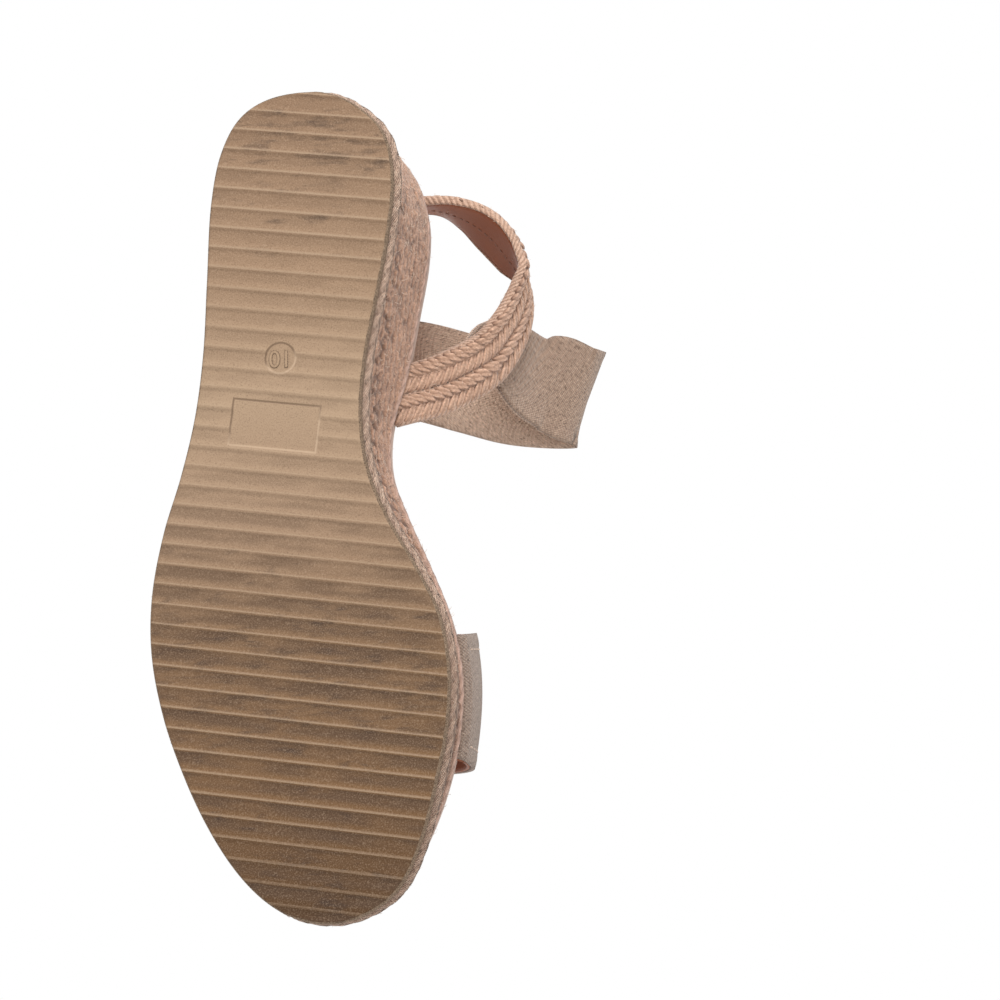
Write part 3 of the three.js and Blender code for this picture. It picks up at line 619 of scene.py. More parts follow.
def thread(name, colour):
    look = Look(name, 0.7, sheen=0.2)
    twist = look.noise(look.place((1, 1, 1)), 3.0, 2.0)
    dark = tuple(0.6 * c for c in colour)
    return look.finish(look.mix(look.spread(twist, 0.35, 0.6), dark, colour), look.bump(twist, 0.1))


def plain_stock(name, pale, dark, scale, roughness, relief):
    """Cork, board and foam: what the wedge holds inside."""
    look = Look(name, roughness)
    here = look.place((1, 1, 1))
    crumbs = look.cells(here, scale)
    tone = look.noise(here, scale, 4.0)
    colour = look.mix(look.spread(tone, 0.35, 0.65), dark, pale)
    return look.finish(colour, look.bump(crumbs, relief))


TREAD = tread_rubber()
RIM = rim_rubber()
WRAP_JUTE = jute(
    "wrap_jute", (0.52, 0.292, 0.186), (0.355, 0.183, 0.108), (0.09, 0.04, 0.021), (0.6, 0.5, 1), fleck=0.9,
    relief=0.5, toe_shade=0.5,
)
EDGE_JUTE = jute(
    "edge_jute", (0.8, 0.57, 0.43), (0.6, 0.39, 0.275), (0.17, 0.085, 0.05), (2, 0.6, 1), fleck=0.8,
    relief=0.5, toe_shade=0.3, ply=1.15, ply_turn=0,
)
LOOSE_FIBRE = thread("loose_fibre", (0.8, 0.6, 0.46))
RIM_JUTE = jute("rim_jute", (0.56, 0.37, 0.29), (0.43, 0.265, 0.2), (0.17, 0.09, 0.06), fleck=0.35)
BRAID_YARN = jute(
    "braid_yarn", (0.68, 0.44, 0.31), (0.48, 0.28, 0.185), (0.15, 0.066, 0.037), (0.7, 1.6, 1), fleck=0.65,
)
BRAID_BED = jute(
    "braid_bed", (0.68, 0.46, 0.34), (0.5, 0.31, 0.215), (0.2, 0.1, 0.06), (0.5, 1, 1),
    ply=1.5, ply_turn=38,
)
BINDING_CLOTH = jute(
    "binding_cloth", (0.5, 0.345, 0.26), (0.41, 0.27, 0.2), (0.22, 0.13, 0.09), (1, 1, 1), 0.2, 0.15,
)
# Mostly the linen's own colour, set a little darker as painted shade.
VAMP_LINEN_CLOTH = linen(
    "vamp_linen_cloth", (0.36, 0.265, 0.205), (0.27, 0.19, 0.143), (0.1, 0.065, 0.045), 1.1, 0.8,
)
BAND_CLOTH = linen(
    "band_cloth", (0.43, 0.3, 0.22), (0.325, 0.218, 0.156), (0.12, 0.073, 0.047), 1.15, 0.85, 0.25,
)
# Painted light: the backing is coloured far paler than the face cloth so that it reads as lit where it lies
# in shade.
BAND_BACK_PAINTED_LIGHT = linen(
    "band_back_painted_light_cloth", (0.8, 0.59, 0.45), (0.6, 0.43, 0.32), (0.24, 0.15, 0.1), 1.4, 0.85, 0.35,
)
LEATHER = lining_leather()
PALE_THREAD = thread("pale_thread", (0.62, 0.45, 0.34))
BROWN_THREAD = thread("brown_thread", (0.2, 0.085, 0.05))
CORK = plain_stock("cork", (0.5, 0.3, 0.16), (0.33, 0.18, 0.09), 0.5, 0.95, 0.5)
BOARD = plain_stock("fibre_board", (0.34, 0.23, 0.15), (0.24, 0.16, 0.1), 1.5, 0.9, 0.2)
FOAM = plain_stock("foam", (0.72, 0.65, 0.55), (0.62, 0.55, 0.45), 2.5, 1.0, 0.15)

# ---- Mesh building -------------------------------------------------------------------------------


def make_piece(name, points, faces, materials, choice=None, uv=None, shades=None, closed=True):
    """A smooth mesh from points in millimetres. uv and the named shades hold one value for each point."""
    mesh = bpy.data.meshes.new(name)
    mesh.from_pydata((np.asarray(points, float) * MM).tolist(), [], [tuple(face) for face in faces])
    materials = materials if isinstance(materials, (list, tuple)) else [materials]
    for material in materials:
        mesh.materials.append(material)
    if choice is not None:
        mesh.polygons.foreach_set("material_index", np.asarray(choice, np.int32))
    if uv is not None:
        layer = mesh.uv_layers.new(name="UVMap")
        loops = np.zeros(len(mesh.loops), np.int32)
        mesh.loops.foreach_get("vertex_index", loops)
        layer.data.foreach_set("uv", np.asarray(uv, np.float32)[loops].ravel())
    for key, values in (shades or {}).items():
        layer = mesh.attributes.new(key, "FLOAT", "POINT")
        layer.data.foreach_set("value", np.asarray(values, np.float32))
    mesh.polygons.foreach_set("use_smooth", np.ones(len(mesh.polygons), bool))
    mesh.update()
    if closed:
        shell = bmesh.new()
        shell.from_mesh(mesh)
        bmesh.ops.remove_doubles(shell, verts=shell.verts, dist=2e-6)
        bmesh.ops.dissolve_degenerate(shell, edges=shell.edges, dist=1e-7)
        bmesh.ops.recalc_face_normals(shell, faces=shell.faces)
        shell.to_mesh(mesh)
        shell.free()
    piece = bpy.data.objects.new(name, mesh)
    bpy.context.scene.collection.objects.link(piece)
    return piece


def grid_faces(rows, columns, rows_join=False, columns_join=False, first=0):
    faces = []
    for i in range(rows if rows_join else rows - 1):
        for j in range(columns if columns_join else columns - 1):
            a, b = i * columns + j, i * columns + (j + 1) % columns
            c, d = ((i + 1) % rows) * columns + (j + 1) % columns, ((i + 1) % rows) * columns + j
            faces.append((first + a, first + b, first + c, first + d))
    return faces


def grid_border(rows, columns):
    """The places round the edge of an open grid, in order."""
    border = list(range(columns)) + [r * columns + columns - 1 for r in range(1, rows)]
    border += [(rows - 1) * columns + c for c in range(columns - 2, -1, -1)]
    border += [r * columns for r in range(rows - 2, 0, -1)]
    return border


def remake(piece, name):
    """The evaluated mesh of a piece as a new plain object, without the piece's modifiers."""
    bpy.context.view_layer.update()
    graph = bpy.context.evaluated_depsgraph_get()
    mesh = bpy.data.meshes.new_from_object(piece.evaluated_get(graph), depsgraph=graph)
    made = bpy.data.objects.new(name, mesh)
    bpy.context.scene.collection.objects.link(made)
    bpy.data.objects.remove(piece)
    return made


class Tree:
    """A Geometry Nodes tree with named inputs."""

    def __init__(self, name, inputs):
        self.group = bpy.data.node_groups.new(name, "GeometryNodeTree")
        self.sockets = {}
        for label, kind in [("Geometry", "NodeSocketGeometry"), *inputs]:
            socket = self.group.interface.new_socket(label, in_out="INPUT", socket_type=kind)
            self.sockets[label] = socket.identifier
        self.group.interface.new_socket("Geometry", in_out="OUTPUT", socket_type="NodeSocketGeometry")
        self.given = self.group.nodes.new("NodeGroupInput")
        self.result = self.group.nodes.new("NodeGroupOutput")

    def add(self, kind, inputs=None, **settings):
        node = self.group.nodes.new(kind)
        for key, value in settings.items():
            setattr(node, key, value)
        for key, value in (inputs or {}).items():
            if hasattr(value, "is_output"):
                self.group.links.new(value, node.inputs[key])
            else:
                node.inputs[key].default_value = value
        return node

    def input(self, label):
        return self.given.outputs[label]

    def painted(self, copies):
        """The copies made real, in the material named Finish."""
        real = self.add("GeometryNodeRealizeInstances", {"Geometry": copies.outputs["Instances"]})
        painted = self.add("GeometryNodeSetMaterial", {
            "Geometry": real.outputs["Geometry"], "Material": self.input("Finish"),
        })
        return painted.outputs[0]

    def joined(self, made):
        """What was made, together with the mesh that the tree was given."""
        joined = self.add("GeometryNodeJoinGeometry")
        self.group.links.new(made, joined.inputs[0])
        self.group.links.new(self.input("Geometry"), joined.inputs[0])
        return joined.outputs[0]

    def finish(self, geometry):
        self.group.links.new(geometry, self.result.inputs[0])
        return self

    def run(self, base, name, values):
        modifier = base.modifiers.new("grow", "NODES")
        modifier.node_group = self.group
        for label, value in values.items():
            modifier[self.sockets[label]] = value
        return remake(base, name)


def placing_tree():
    """Copies of an item stand at the points of another mesh, beside the base mesh."""
    tree = Tree("lay_copies", [
        ("Places", "NodeSocketObject"), ("Item", "NodeSocketObject"), ("Finish", "NodeSocketMaterial"),
    ])
    places = tree.add("GeometryNodeObjectInfo", {"Object": tree.input("Places")})
    item = tree.add("GeometryNodeObjectInfo", {"Object": tree.input("Item"), "As Instance": True})
    turn = tree.add("GeometryNodeInputNamedAttribute", {"Name": "turn"}, data_type="FLOAT_VECTOR")
    stretch = tree.add("GeometryNodeInputNamedAttribute", {"Name": "stretch"}, data_type="FLOAT_VECTOR")
    copies = tree.add("GeometryNodeInstanceOnPoints", {
        "Points": places.outputs["Geometry"], "Instance": item.outputs["Geometry"],
        "Rotation": turn.outputs["Attribute"], "Scale": stretch.outputs["Attribute"],
    })
    return tree.finish(tree.joined(tree.painted(copies)))


def fuzz_tree(apart):
    """Short loose fibres stand on a surface, kept apart from it or joined to it."""
    tree = Tree("fuzz_apart" if apart else "fuzz", [
        ("Fibre", "NodeSocketObject"), ("Finish", "NodeSocketMaterial"), ("Density", "NodeSocketFloat"),
        ("Seed", "NodeSocketInt"),
    ])
    spots = tree.add("GeometryNodeDistributePointsOnFaces", {
        "Mesh": tree.input("Geometry"), "Density": tree.input("Density"), "Seed": tree.input("Seed"),
    })
    fibre = tree.add("GeometryNodeObjectInfo", {"Object": tree.input("Fibre"), "As Instance": True})
    lean = tree.add("FunctionNodeRandomValue", data_type="FLOAT_VECTOR")
    lean.inputs[0].default_value = (-0.25, -0.3, -math.pi)
    lean.inputs[1].default_value = (0.25, 0.35, math.pi)
    size = tree.add("FunctionNodeRandomValue", data_type="FLOAT")
    size.inputs[2].default_value = 0.5
    size.inputs[3].default_value = 1.3
    turned = tree.add("FunctionNodeRotateRotation", rotation_space="LOCAL")
    tree.group.links.new(spots.outputs["Rotation"], turned.inputs[0])
    tree.group.links.new(lean.outputs[0], turned.inputs[1])
    copies = tree.add("GeometryNodeInstanceOnPoints", {
        "Points": spots.outputs["Points"], "Instance": fibre.outputs["Geometry"],
        "Rotation": turned.outputs[0], "Scale": size.outputs[1],
    })
    fibres = tree.painted(copies)
    return tree.finish(fibres if apart else tree.joined(fibres))


PLACING = placing_tree()
FUZZ = fuzz_tree(apart=False)
FUZZ_APART = fuzz_tree(apart=True)


def lay_copies(base, name, places, item, finish):
    """places holds (point in millimetres, direction along, direction out, (length, width, height))."""
    mesh = bpy.data.meshes.new(name + "_places")
    mesh.from_pydata([tuple(np.asarray(point) * MM) for point, _, _, _ in places], [], [])
    turns, stretches = [], []
    for _, along, out, stretch in places:
        x = np.asarray(along) / np.linalg.norm(along)
        z = np.asarray(out) - x * (np.asarray(out) @ x)
        z = z / np.linalg.norm(z)
        columns = Matrix((x, np.cross(z, x), z)).transposed()
        turns.append(columns.to_euler())
        stretches.append(stretch)
    for key, values in (("turn", turns), ("stretch", stretches)):
        layer = mesh.attributes.new(key, "FLOAT_VECTOR", "POINT")
        layer.data.foreach_set("vector", np.array(values, np.float32).ravel())
    points = bpy.data.objects.new(name + "_places", mesh)
    bpy.context.scene.collection.objects.link(points)
    made = PLACING.run(base, name, {"Places": points, "Item": item, "Finish": finish})
    bpy.data.objects.remove(points)
    return made


def add_fuzz(piece, name, density, seed, tree=FUZZ):
    return tree.run(piece, name, {"Fibre": FIBRE, "Finish": LOOSE_FIBRE, "Density": density, "Seed": seed})


def fuzz_of(piece, name, density, seed):
    """The loose fibres of a piece as a piece of their own."""
    twin = piece.copy()
    twin.data = piece.data.copy()
    bpy.context.scene.collection.objects.link(twin)
    return add_fuzz(twin, name, density, seed, FUZZ_APART)


def yarn_item(name, length, width, height, plies, turns, dip, steps, around):
    """One visible stretch of yarn: thick in its middle, dipping under its neighbours at both ends."""
    t = np.linspace(0, 1, steps)[:, None]
    angle = np.linspace(0, 2 * np.pi, around, endpoint=False)[None, :]
    body = np.sin(np.pi * (0.04 + 0.92 * t)) ** 0.55
    lobes = 1 + PLY_DEPTH * np.cos(plies * angle + 2 * np.pi * turns * t)
    x = (t - 0.5) * length + 0 * angle
    y = body * lobes * np.cos(angle) * width / 2
    z = body * lobes * np.sin(angle) * height / 2 - dip * np.abs(2 * t - 1) ** 2.6
    points = np.stack([x, y, z], axis=2).reshape(-1, 3)
    ends = [points[:around].mean(axis=0), points[-around:].mean(axis=0)]
    faces = grid_faces(steps, around, columns_join=True)
    last = steps * around
    faces += [(last, (j + 1) % around, j) for j in range(around)]
    faces += [(last + 1, last - around + j, last - around + (j + 1) % around) for j in range(around)]
    uv = np.stack([x, angle / (2 * np.pi) * width * 3 + 0 * t], axis=2).reshape(-1, 2)
    uv = np.concatenate([uv, uv[:1], uv[-1:]])
    # Painted shade where the strand dips under its neighbours and between its plies.
    hollow_shade = (0.22 + 0.8 * np.abs(2 * t - 1) ** 3 - 2.6 * (lobes - 1) + 0 * angle).reshape(-1)
    hollow_shade = np.clip(np.concatenate([hollow_shade, [1, 1]]), 0, 1)
    points = np.concatenate([points, ends])
    return make_piece(name, points, faces, BRAID_YARN, uv=uv, shades={"hollow_shade": hollow_shade}, closed=False)


def fibre_item():
    """A short curved loose fibre, thinner towards its free end."""
    steps, around = 4, 3
    t = np.linspace(0, 1, steps)
    centre = np.stack([1.7 * np.sin(1.6 * t), 0.5 * t**2, 0.45 * t * (1.2 - t)], axis=1)
    radius = 0.085 * (1 - 0.6 * t)
    angle = np.linspace(0, 2 * np.pi, around, endpoint=False)
    ring = np.stack([0 * angle, np.cos(angle), np.sin(angle)], axis=1)
    points = (centre[:, None] + radius[:, None, None] * ring[None]).reshape(-1, 3)
    faces = grid_faces(steps, around, columns_join=True)
    return make_piece("loose_fibre", points, faces, LOOSE_FIBRE, closed=False)


PLAIT_STRAND = yarn_item(
    "plait_strand", length=8.4, width=2.75, height=1.7, plies=4, turns=1.0, dip=0.75, steps=17, around=20,
)
STITCH = yarn_item(
    "stitch", length=STITCH_LENGTH, width=0.55, height=0.5, plies=2, turns=1.5, dip=0.25, steps=7, around=6,
)
FIBRE = fibre_item()

# ---- Outsole -------------------------------------------------------------------------------------


def sunk_share(x, y):
    """1 inside the sunk plate and the sunk roundel, 0 outside, with a bevel between."""
    from_x, from_y = x - PLATE_CENTRE[0], y - PLATE_CENTRE[1]
    across = PLATE_SIZE[0] / 2 - np.abs(from_x - RIB_SLANT * from_y)
    along = PLATE_SIZE[1] / 2 - np.abs(from_y + RIB_SLANT * from_x)
    plate = np.clip(np.minimum(across, along) / SUNK_BEVEL, 0, 1)
    away = np.hypot(x - ROUNDEL_CENTRE[0], y - ROUNDEL_CENTRE[1])
    return np.maximum(plate, np.clip((ROUNDEL_RADIUS - away) / SUNK_BEVEL, 0, 1))


def rib_height(phase):
    """Height over the valley: a crest with a short drop towards the toe, and a long ramp."""
    slope = np.where(phase < RIB_DROP, phase / RIB_DROP, (1 - phase) / (1 - RIB_DROP))
    return slope**RIB_HOLLOWING


def make_outsole():
    """Slanted rows across the sole carry the saw-tooth ribs; the rim and the top close it."""
    ring = outline_ring(SOLE_OUTLINE, 500)
    slanted = ring[:, 1] + RIB_SLANT * ring[:, 0]
    low, high = slanted.argmin(), slanted.argmax()
    order = [(high + k) % len(ring) for k in range(len(ring))]
    split = order.index(low)
    inner, outer = np.array(order[:split + 1]), np.array(order[split:] + [high])
    rows_per_rib, columns, from_tip = 9, 90, 0.02
    rows = int((slanted[high] - slanted[low]) / RIB_PITCH * rows_per_rib)
    places = np.linspace(slanted[low] + from_tip, slanted[high] - from_tip, rows)
    inner_x = np.interp(places, slanted[inner][::-1], ring[inner, 0][::-1])
    outer_x = np.interp(places, slanted[outer], ring[outer, 0])
    crowded, even = (1 - np.cos(np.linspace(0, np.pi, columns))) / 2, np.linspace(0, 1, columns)
    share = crowded * 0.35 + even * 0.65
    x = inner_x[:, None] + (outer_x - inner_x)[:, None] * share[None, :]
    y = places[:, None] - RIB_SLANT * x
    phase = ((-(y + RIB_SLANT * x) + RIB_START) / RIB_PITCH) % 1
    rib = rib_height(1 - phase)
    sunk = sunk_share(x, y)
    rim = np.minimum(share, 1 - share)[None, :] * (outer_x - inner_x)[:, None]
    rounded = np.clip(1 - rim / 0.5, 0, 1) ** 2 * 0.35
    relief = RIB_DEPTH * (1 - rib) * (1 - sunk) + SUNK_DEPTH * sunk
    z = tread_z(y) + np.maximum(relief, 0) + rounded
    points = np.stack([x, y, z], axis=2).reshape(-1, 3)
    value = np.where(sunk > 0.5, 0.62, rib).reshape(-1)
    faces = grid_faces(rows, columns)
    border = grid_border(rows, columns)
    edge = points[border]
    skirt, first = [], len(points)
    for lift, out in SOLE_SIDE:
        level = edge.copy()
        level[:, :2] += out * ring_outward(edge[:, :2])
        level[:, 2] = tread_z(edge[:, 1]) + lift
        skirt.append(level)
    inset = skirt[-1].copy()
    inset[:, 0] *= 0.1
    points = np.concatenate([points, *skirt, inset])
    count = len(border)
    rim_faces = [
        (border[k], border[(k + 1) % count], first + (k + 1) % count, first + k) for k in range(count)
    ]
    rim_faces += grid_faces(len(skirt) + 1, count, columns_join=True, first=first)
    choice = [0] * len(faces) + [1] * len(rim_faces)
    value = np.concatenate([value, np.full(len(points) - len(value), 0.4)])
    shades = {"rib": value}
    return make_piece("outsole_tread", points, faces + rim_faces, [TREAD, RIM], choice, shades=shades)


def make_size_mark():
    """The raised size number in the roundel, read from below, and a dark foot round it that is painted
    shade at the numbers' edges.
    """
    marks = []
    # The second copy, swollen and dark, is painted shade round the numbers.
    kinds = [("size_mark", 0.3, 0.0, TREAD), ("size_mark_foot", 0.12, 0.2, RIM)]
    for name, height, swell, material in kinds:
        curve = bpy.data.curves.new(name, "FONT")
        curve.body = "10"
        curve.size = SIZE_MARK_HEIGHT * MM
        curve.align_x = "CENTER"
        curve.align_y = "CENTER"
        curve.offset = swell * MM
        curve.extrude = height * MM
        text = bpy.data.objects.new(name, curve)
        bpy.context.scene.collection.objects.link(text)
        mark = remake(text, name)
        place = Matrix.Translation(Vector((*ROUNDEL_CENTRE, SUNK_DEPTH)) * MM)
        mark.data.transform(place @ Matrix.Rotation(math.pi, 4, "X"))
        mark.data.materials.clear()
        mark.data.materials.append(material)
        height_share = [0.7] * len(mark.data.vertices)
        mark.data.attributes.new("rib", "FLOAT", "POINT").data.foreach_set("value", height_share)
        marks.append(mark)
    return marks


# ---- Wrap ----------------------------------------------------------------------------------------


def even_places(ring, count):
    """Evenly spaced places on a closed line, as point numbers and as distances along it."""
    loop = np.concatenate([ring, ring[:1]])
    run = np.concatenate([[0], np.cumsum(np.linalg.norm(np.diff(loop, axis=0), axis=1))])
    places = np.linspace(0, run[-1], count, endpoint=False)
    return np.interp(places, run, np.arange(len(loop))), places


def wall_lines(columns):
    """Foot and top lines of the wedge's wall at matching places, and distances along the foot."""
    stations = 400
    foot = outline_ring(SOLE_OUTLINE, stations)
    foot = foot - OUTSOLE_RIM * ring_outward(foot)
    head = outline_ring(TOP_OUTLINE, stations)
    places, run = even_places(foot, columns)
    lines = []
    for ring in (foot, head):
        loop = np.concatenate([ring, ring[:1]])
        numbers = np.arange(len(loop))
        lines.append(np.stack([np.interp(places, numbers, loop[:, k]) for k in range(2)], axis=1))
    return (*lines, run)


def cord_relief(rng, row, across, run):
    """Twisted cords lying in rows, uneven like jute. across goes from -1 to 1 over each row."""
    rows, columns = row.shape
    cords = 40
    wander = rng.uniform(0, 2 * np.pi, cords)[np.clip(np.floor(row).astype(int) + 2, 0, cords - 1)]
    bulge = np.sqrt(np.maximum(0, 1 - (0.96 * across) ** 2))
    twist = np.cos(2 * np.pi * (run[None, :] / CORD_TWIST + 0.45 * across) + wander)
    slow = np.sin(run[None, :] / 9.0 + wander * 3) + np.sin(run[None, :] / 4.1 + wander * 7)
    grain = rng.normal(0, 1, row.shape)
    grain = (grain + np.roll(grain, 1, axis=1) + np.roll(grain, 2, axis=1)) / 3
    high, wide = 4, 2
    lumps = rng.normal(0, 1, (rows // high + 1, columns // wide))
    lumps = np.kron(lumps, np.ones((high, wide)))[:rows]
    lumps = (lumps + np.roll(lumps, 1, axis=1) + np.roll(lumps, 2, axis=0) + np.roll(lumps, 1, axis=0)) / 4
    cord = bulge * (0.8 + 0.12 * twist + 0.06 * slow) - 0.78
    return CORD_RELIEF * cord + 0.13 * grain + 0.16 * lumps


def cord_slits(row, across, run, arch):
    """Dark slits between the strands of the two plaited rows, strongest at the arch."""
    plaited = (np.floor(row) == 2) | (np.floor(row) == 3)
    slits = np.maximum(0, np.cos(2 * np.pi * (run[None, :] / SLIT_PITCH + 0.5 * across))) ** 6
    return np.where(plaited, slits * (0.25 + 0.75 * arch), 0) * (np.abs(across) > 0.3)


def cord_gaps(rng, h, run, arch):
    """Small slanted holes scattered along the wall above the rope."""
    centres = np.cumsum(rng.uniform(3.4, 6.0, int(run[-1] / 4.7)))
    heights = ROPE_HEIGHT + rng.uniform(6.5, 12.5, len(centres))
    reach, width, length, slant = 3, 0.8, 2.0, 0.3
    gaps = np.zeros(h.shape)
    for centre, level in zip(centres, heights):
        near = np.abs(run - centre) < reach
        slope = (run[near][None, :] - centre - slant * (h[:, near] - level)) / width
        gaps[:, near] += np.exp(-slope**2 - ((h[:, near] - level) / length) ** 2)
    return np.clip(1.8 * gaps - 0.15, 0, 1) * (0.6 + 0.4 * arch)


def make_wrap():
    """Rows of jute cord round the wedge's wall, cut off by its sloping top edge."""
    columns, levels_per_cord, behind_rope = 760, 6, 1.0
    foot, head, run = wall_lines(columns)
    outward = ring_outward(foot)
    foot_z, head_z = wall_foot_z(foot[:, 1]), wrap_top_z(head[:, 1])
    height = head_z - foot_z
    low = ROPE_HEIGHT - behind_rope
    levels = np.arange(low, height.max() + 0.5, CORD_PITCH / levels_per_cord)
    h = np.minimum(levels[:, None], height[None, :] - 0.8)
    share = h / height[None, :]
    row = (h - ROPE_HEIGHT) / CORD_PITCH
    across = 2 * (row % 1) - 1
    arch_middle, arch_reach = 5, 45
    arch = np.exp(-((foot[:, 1] - arch_middle) / arch_reach) ** 2)[None, :] * (foot[:, 0] < 0)[None, :]
    rng = np.random.default_rng(SEED)
    relief = cord_relief(rng, row, across, run)
    slits = cord_slits(row, across, run, arch)
    gaps = cord_gaps(rng, h, run, arch)
    relief = relief - GAP_DEPTH * slits
    relief = relief - GAP_DEPTH * gaps
    fade = np.clip((height[None, :] - h) / 4.0, 0.35, 1)
    relief = relief * fade - 0.15
    plan = foot[None] + (head - foot)[None] * share[..., None] + outward[None] * relief[..., None]
    z = foot_z[None, :] + height[None, :] * share
    outside = np.concatenate([plan, z[..., None]], axis=2)
    # The top turns in under the footbed, and the back closes the hoop.
    turned = []
    for inset, drop in ((0.9, 0.25), (WALL_THICKNESS - 0.3, 0.2), (WALL_THICKNESS, 3.0)):
        edge = np.concatenate([head - inset * outward, (head_z - drop)[:, None]], axis=1)
        turned.append(edge)
    under = np.concatenate([foot - WALL_THICKNESS * outward, (foot_z + low)[:, None]], axis=1)
    points = np.concatenate([outside, np.array(turned), under[None]])
    rows = len(points)
    # Painted shade in the low parts of the cords, in the slits and in the holes, and an even painted shade
    # on the turned-in rows.
    hollow_shade = np.clip(np.clip((0.1 - relief) / 0.75, 0, 1) ** 1.6 + 0.8 * slits + gaps, 0, 1)
    hollow_shade = np.concatenate([hollow_shade, np.full((rows - len(hollow_shade), columns), 0.3)])
    u = np.broadcast_to(run[None, :], (rows, columns))
    v = np.concatenate([h, height[None, :] + np.array([[1.0], [3], [6], [9]])])
    uv = np.stack([u, v], axis=2).reshape(-1, 2)
    faces = grid_faces(rows, columns, rows_join=True, columns_join=True)
    shades = {"hollow_shade": hollow_shade.reshape(-1)}
    return make_piece("jute_wall", points.reshape(-1, 3), faces, WRAP_JUTE, uv=uv, shades=shades)


def make_rope(name, line, outward, run, radius_out, radius_up, lobes, pitch, material, around):
    """A twisted rope along a closed line, with a furrow between each two of its lobes."""
    count = len(line)
    length = run[-1] + run[1] - run[0]
    turns = round(length / pitch)
    angle = np.linspace(0, 2 * np.pi, around, endpoint=False)[None, :]
    phase = (2 * np.pi * turns * run / length)[:, None]
    rng = np.random.default_rng(SEED + around)
    slow = np.sin(run / 5.3)[:, None] * 0.03 + rng.normal(0, 0.012, (count, around))
    lobe = np.abs(np.cos((lobes * angle + phase) / 2)) ** 0.7
    factor = 0.84 + 0.16 * lobe + slow
    out, up = np.cos(angle) * radius_out * factor, np.sin(angle) * radius_up * factor
    points = line[:, None] + outward[:, None] * out[..., None]
    points[..., 2] += up
    lean = lobes * pitch / (2 * np.pi)
    v = np.broadcast_to(angle * radius_up, (count, around))
    uv = np.stack([run[:, None] + lean * angle, v], axis=2)
    # Painted shade in the furrows between the lobes.
    hollow_shade = np.clip(0.95 - 1.2 * lobe, 0, 1).reshape(-1)
    faces = grid_faces(count, around, rows_join=True, columns_join=True)
    shades = {"hollow_shade": hollow_shade}
    return make_piece(name, points.reshape(-1, 3), faces, material, uv=uv.reshape(-1, 2), shades=shades)


def make_edge_rope():
    """The rope laid on the outsole's rim round the wedge's foot."""
    foot, _, run = wall_lines(1050)
    outward = ring_outward(foot)
    shift = EDGE_ROPE_SHIFT * np.maximum(0, -outward[:, :1])
    height = wall_foot_z(foot[:, 1]) + ROPE_HEIGHT / 2
    line = np.concatenate([foot + shift * outward, height[:, None]], axis=1)
    outward = np.concatenate([outward, np.zeros((len(foot), 1))], axis=1)
    return make_rope(
        "sole_edge_rope", line, outward, run, radius_out=EDGE_ROPE_RADIUS, radius_up=ROPE_HEIGHT / 2 + 0.1,
        lobes=4, pitch=6.0, material=EDGE_JUTE, around=18,
    )


def make_top_cord():
    """The thin cord that finishes the wall's top edge."""
    _, head, run = wall_lines(1000)
    outward = ring_outward(head)
    place = head - (EDGE_CORD_RADIUS - 0.15) * outward
    line = np.concatenate([place, (wrap_top_z(head[:, 1]) - EDGE_CORD_RADIUS)[:, None]], axis=1)
    outward = np.concatenate([outward, np.zeros((len(head), 1))], axis=1)
    return make_rope(
        "top_edge_cord", line, outward, run, radius_out=EDGE_CORD_RADIUS, radius_up=EDGE_CORD_RADIUS,
        lobes=3, pitch=5.0, material=RIM_JUTE, around=14,
    )


# ---- Footbed -------------------------------------------------------------------------------------


def make_sock():
    """The covered footbed: a bound side, a soft rolled edge, and a top pressed in at heel and ball."""
    stations, across = 150, 26
    ring = outline_ring(TOP_OUTLINE, stations)
    outward = ring_outward(ring)
    profile = [
        (SOCK_INSET + 1.0, 0.35), (SOCK_INSET + 0.05, 0.35), (SOCK_INSET, 2.5),
        (SOCK_INSET, FOOTBED_TOP - 1.6), (SOCK_INSET + 0.25, FOOTBED_TOP - 0.8),
        (SOCK_INSET + 0.9, FOOTBED_TOP - 0.2), (SOCK_INSET + 2.0, FOOTBED_TOP),
    ]
    bound_rows = 4
    rings = []
    for inset, lift in profile:
        plan = ring - inset * outward
        rings.append(np.concatenate([plan, (wrap_top_z(plan[:, 1]) + lift)[:, None]], axis=1))
    count = len(ring)
    points = list(np.concatenate(rings))
    faces = grid_faces(len(rings), count, columns_join=True)
    last = rings[-1]
    start = (len(rings) - 1) * count
    rows = []
    for k in range(1, stations):
        a, b = last[k], last[(count - k) % count]
        row = [start + k]
        for m in range(1, across):
            share = m / across
            p = a + (b - a) * share
            bowl = math.sin(math.pi * share) ** 2
            press = sum(much * math.exp(-((p[1] - y) / PRESSED_REACH) ** 2) for y, much in PRESSED_PLACES)
            p = np.array([p[0], p[1], footbed_z(p[1]) - PRESSED_DEPTH * bowl * press])
            row.append(len(points))
            points.append(p)
        row.append(start + (count - k) % count)
        rows.append(row)
    for before, after in zip(rows, rows[1:]):
        faces += [(before[m], before[m + 1], after[m + 1], after[m]) for m in range(across)]
    for row, tip in ((rows[0], start), (rows[-1], start + stations)):
        faces += [(tip, row[m], row[m + 1]) for m in range(across)]
    bound = bound_rows * count
    choice = [1] * bound + [0] * (len(faces) - bound)
    points = np.array(points)
    uv = points[:, :2] + np.array([[0.7, 0.4]]) * points[:, 2:]
    base = make_piece("footbed_base", points, faces, [LEATHER, BINDING_CLOTH], choice, uv)
    line = ring - (SOCK_INSET + SOCK_STITCH_INSET) * outward
    line = np.concatenate([line, (footbed_z(line[:, 1]) + ABOVE)[:, None]], axis=1)
    line = np.concatenate([line, line[:1]])
    upright = np.broadcast_to(np.array([0.0, 0, 1]), line.shape)
    return lay_copies(base, "footbed_sock", stitch_places(line, upright), STITCH, PALE_THREAD)


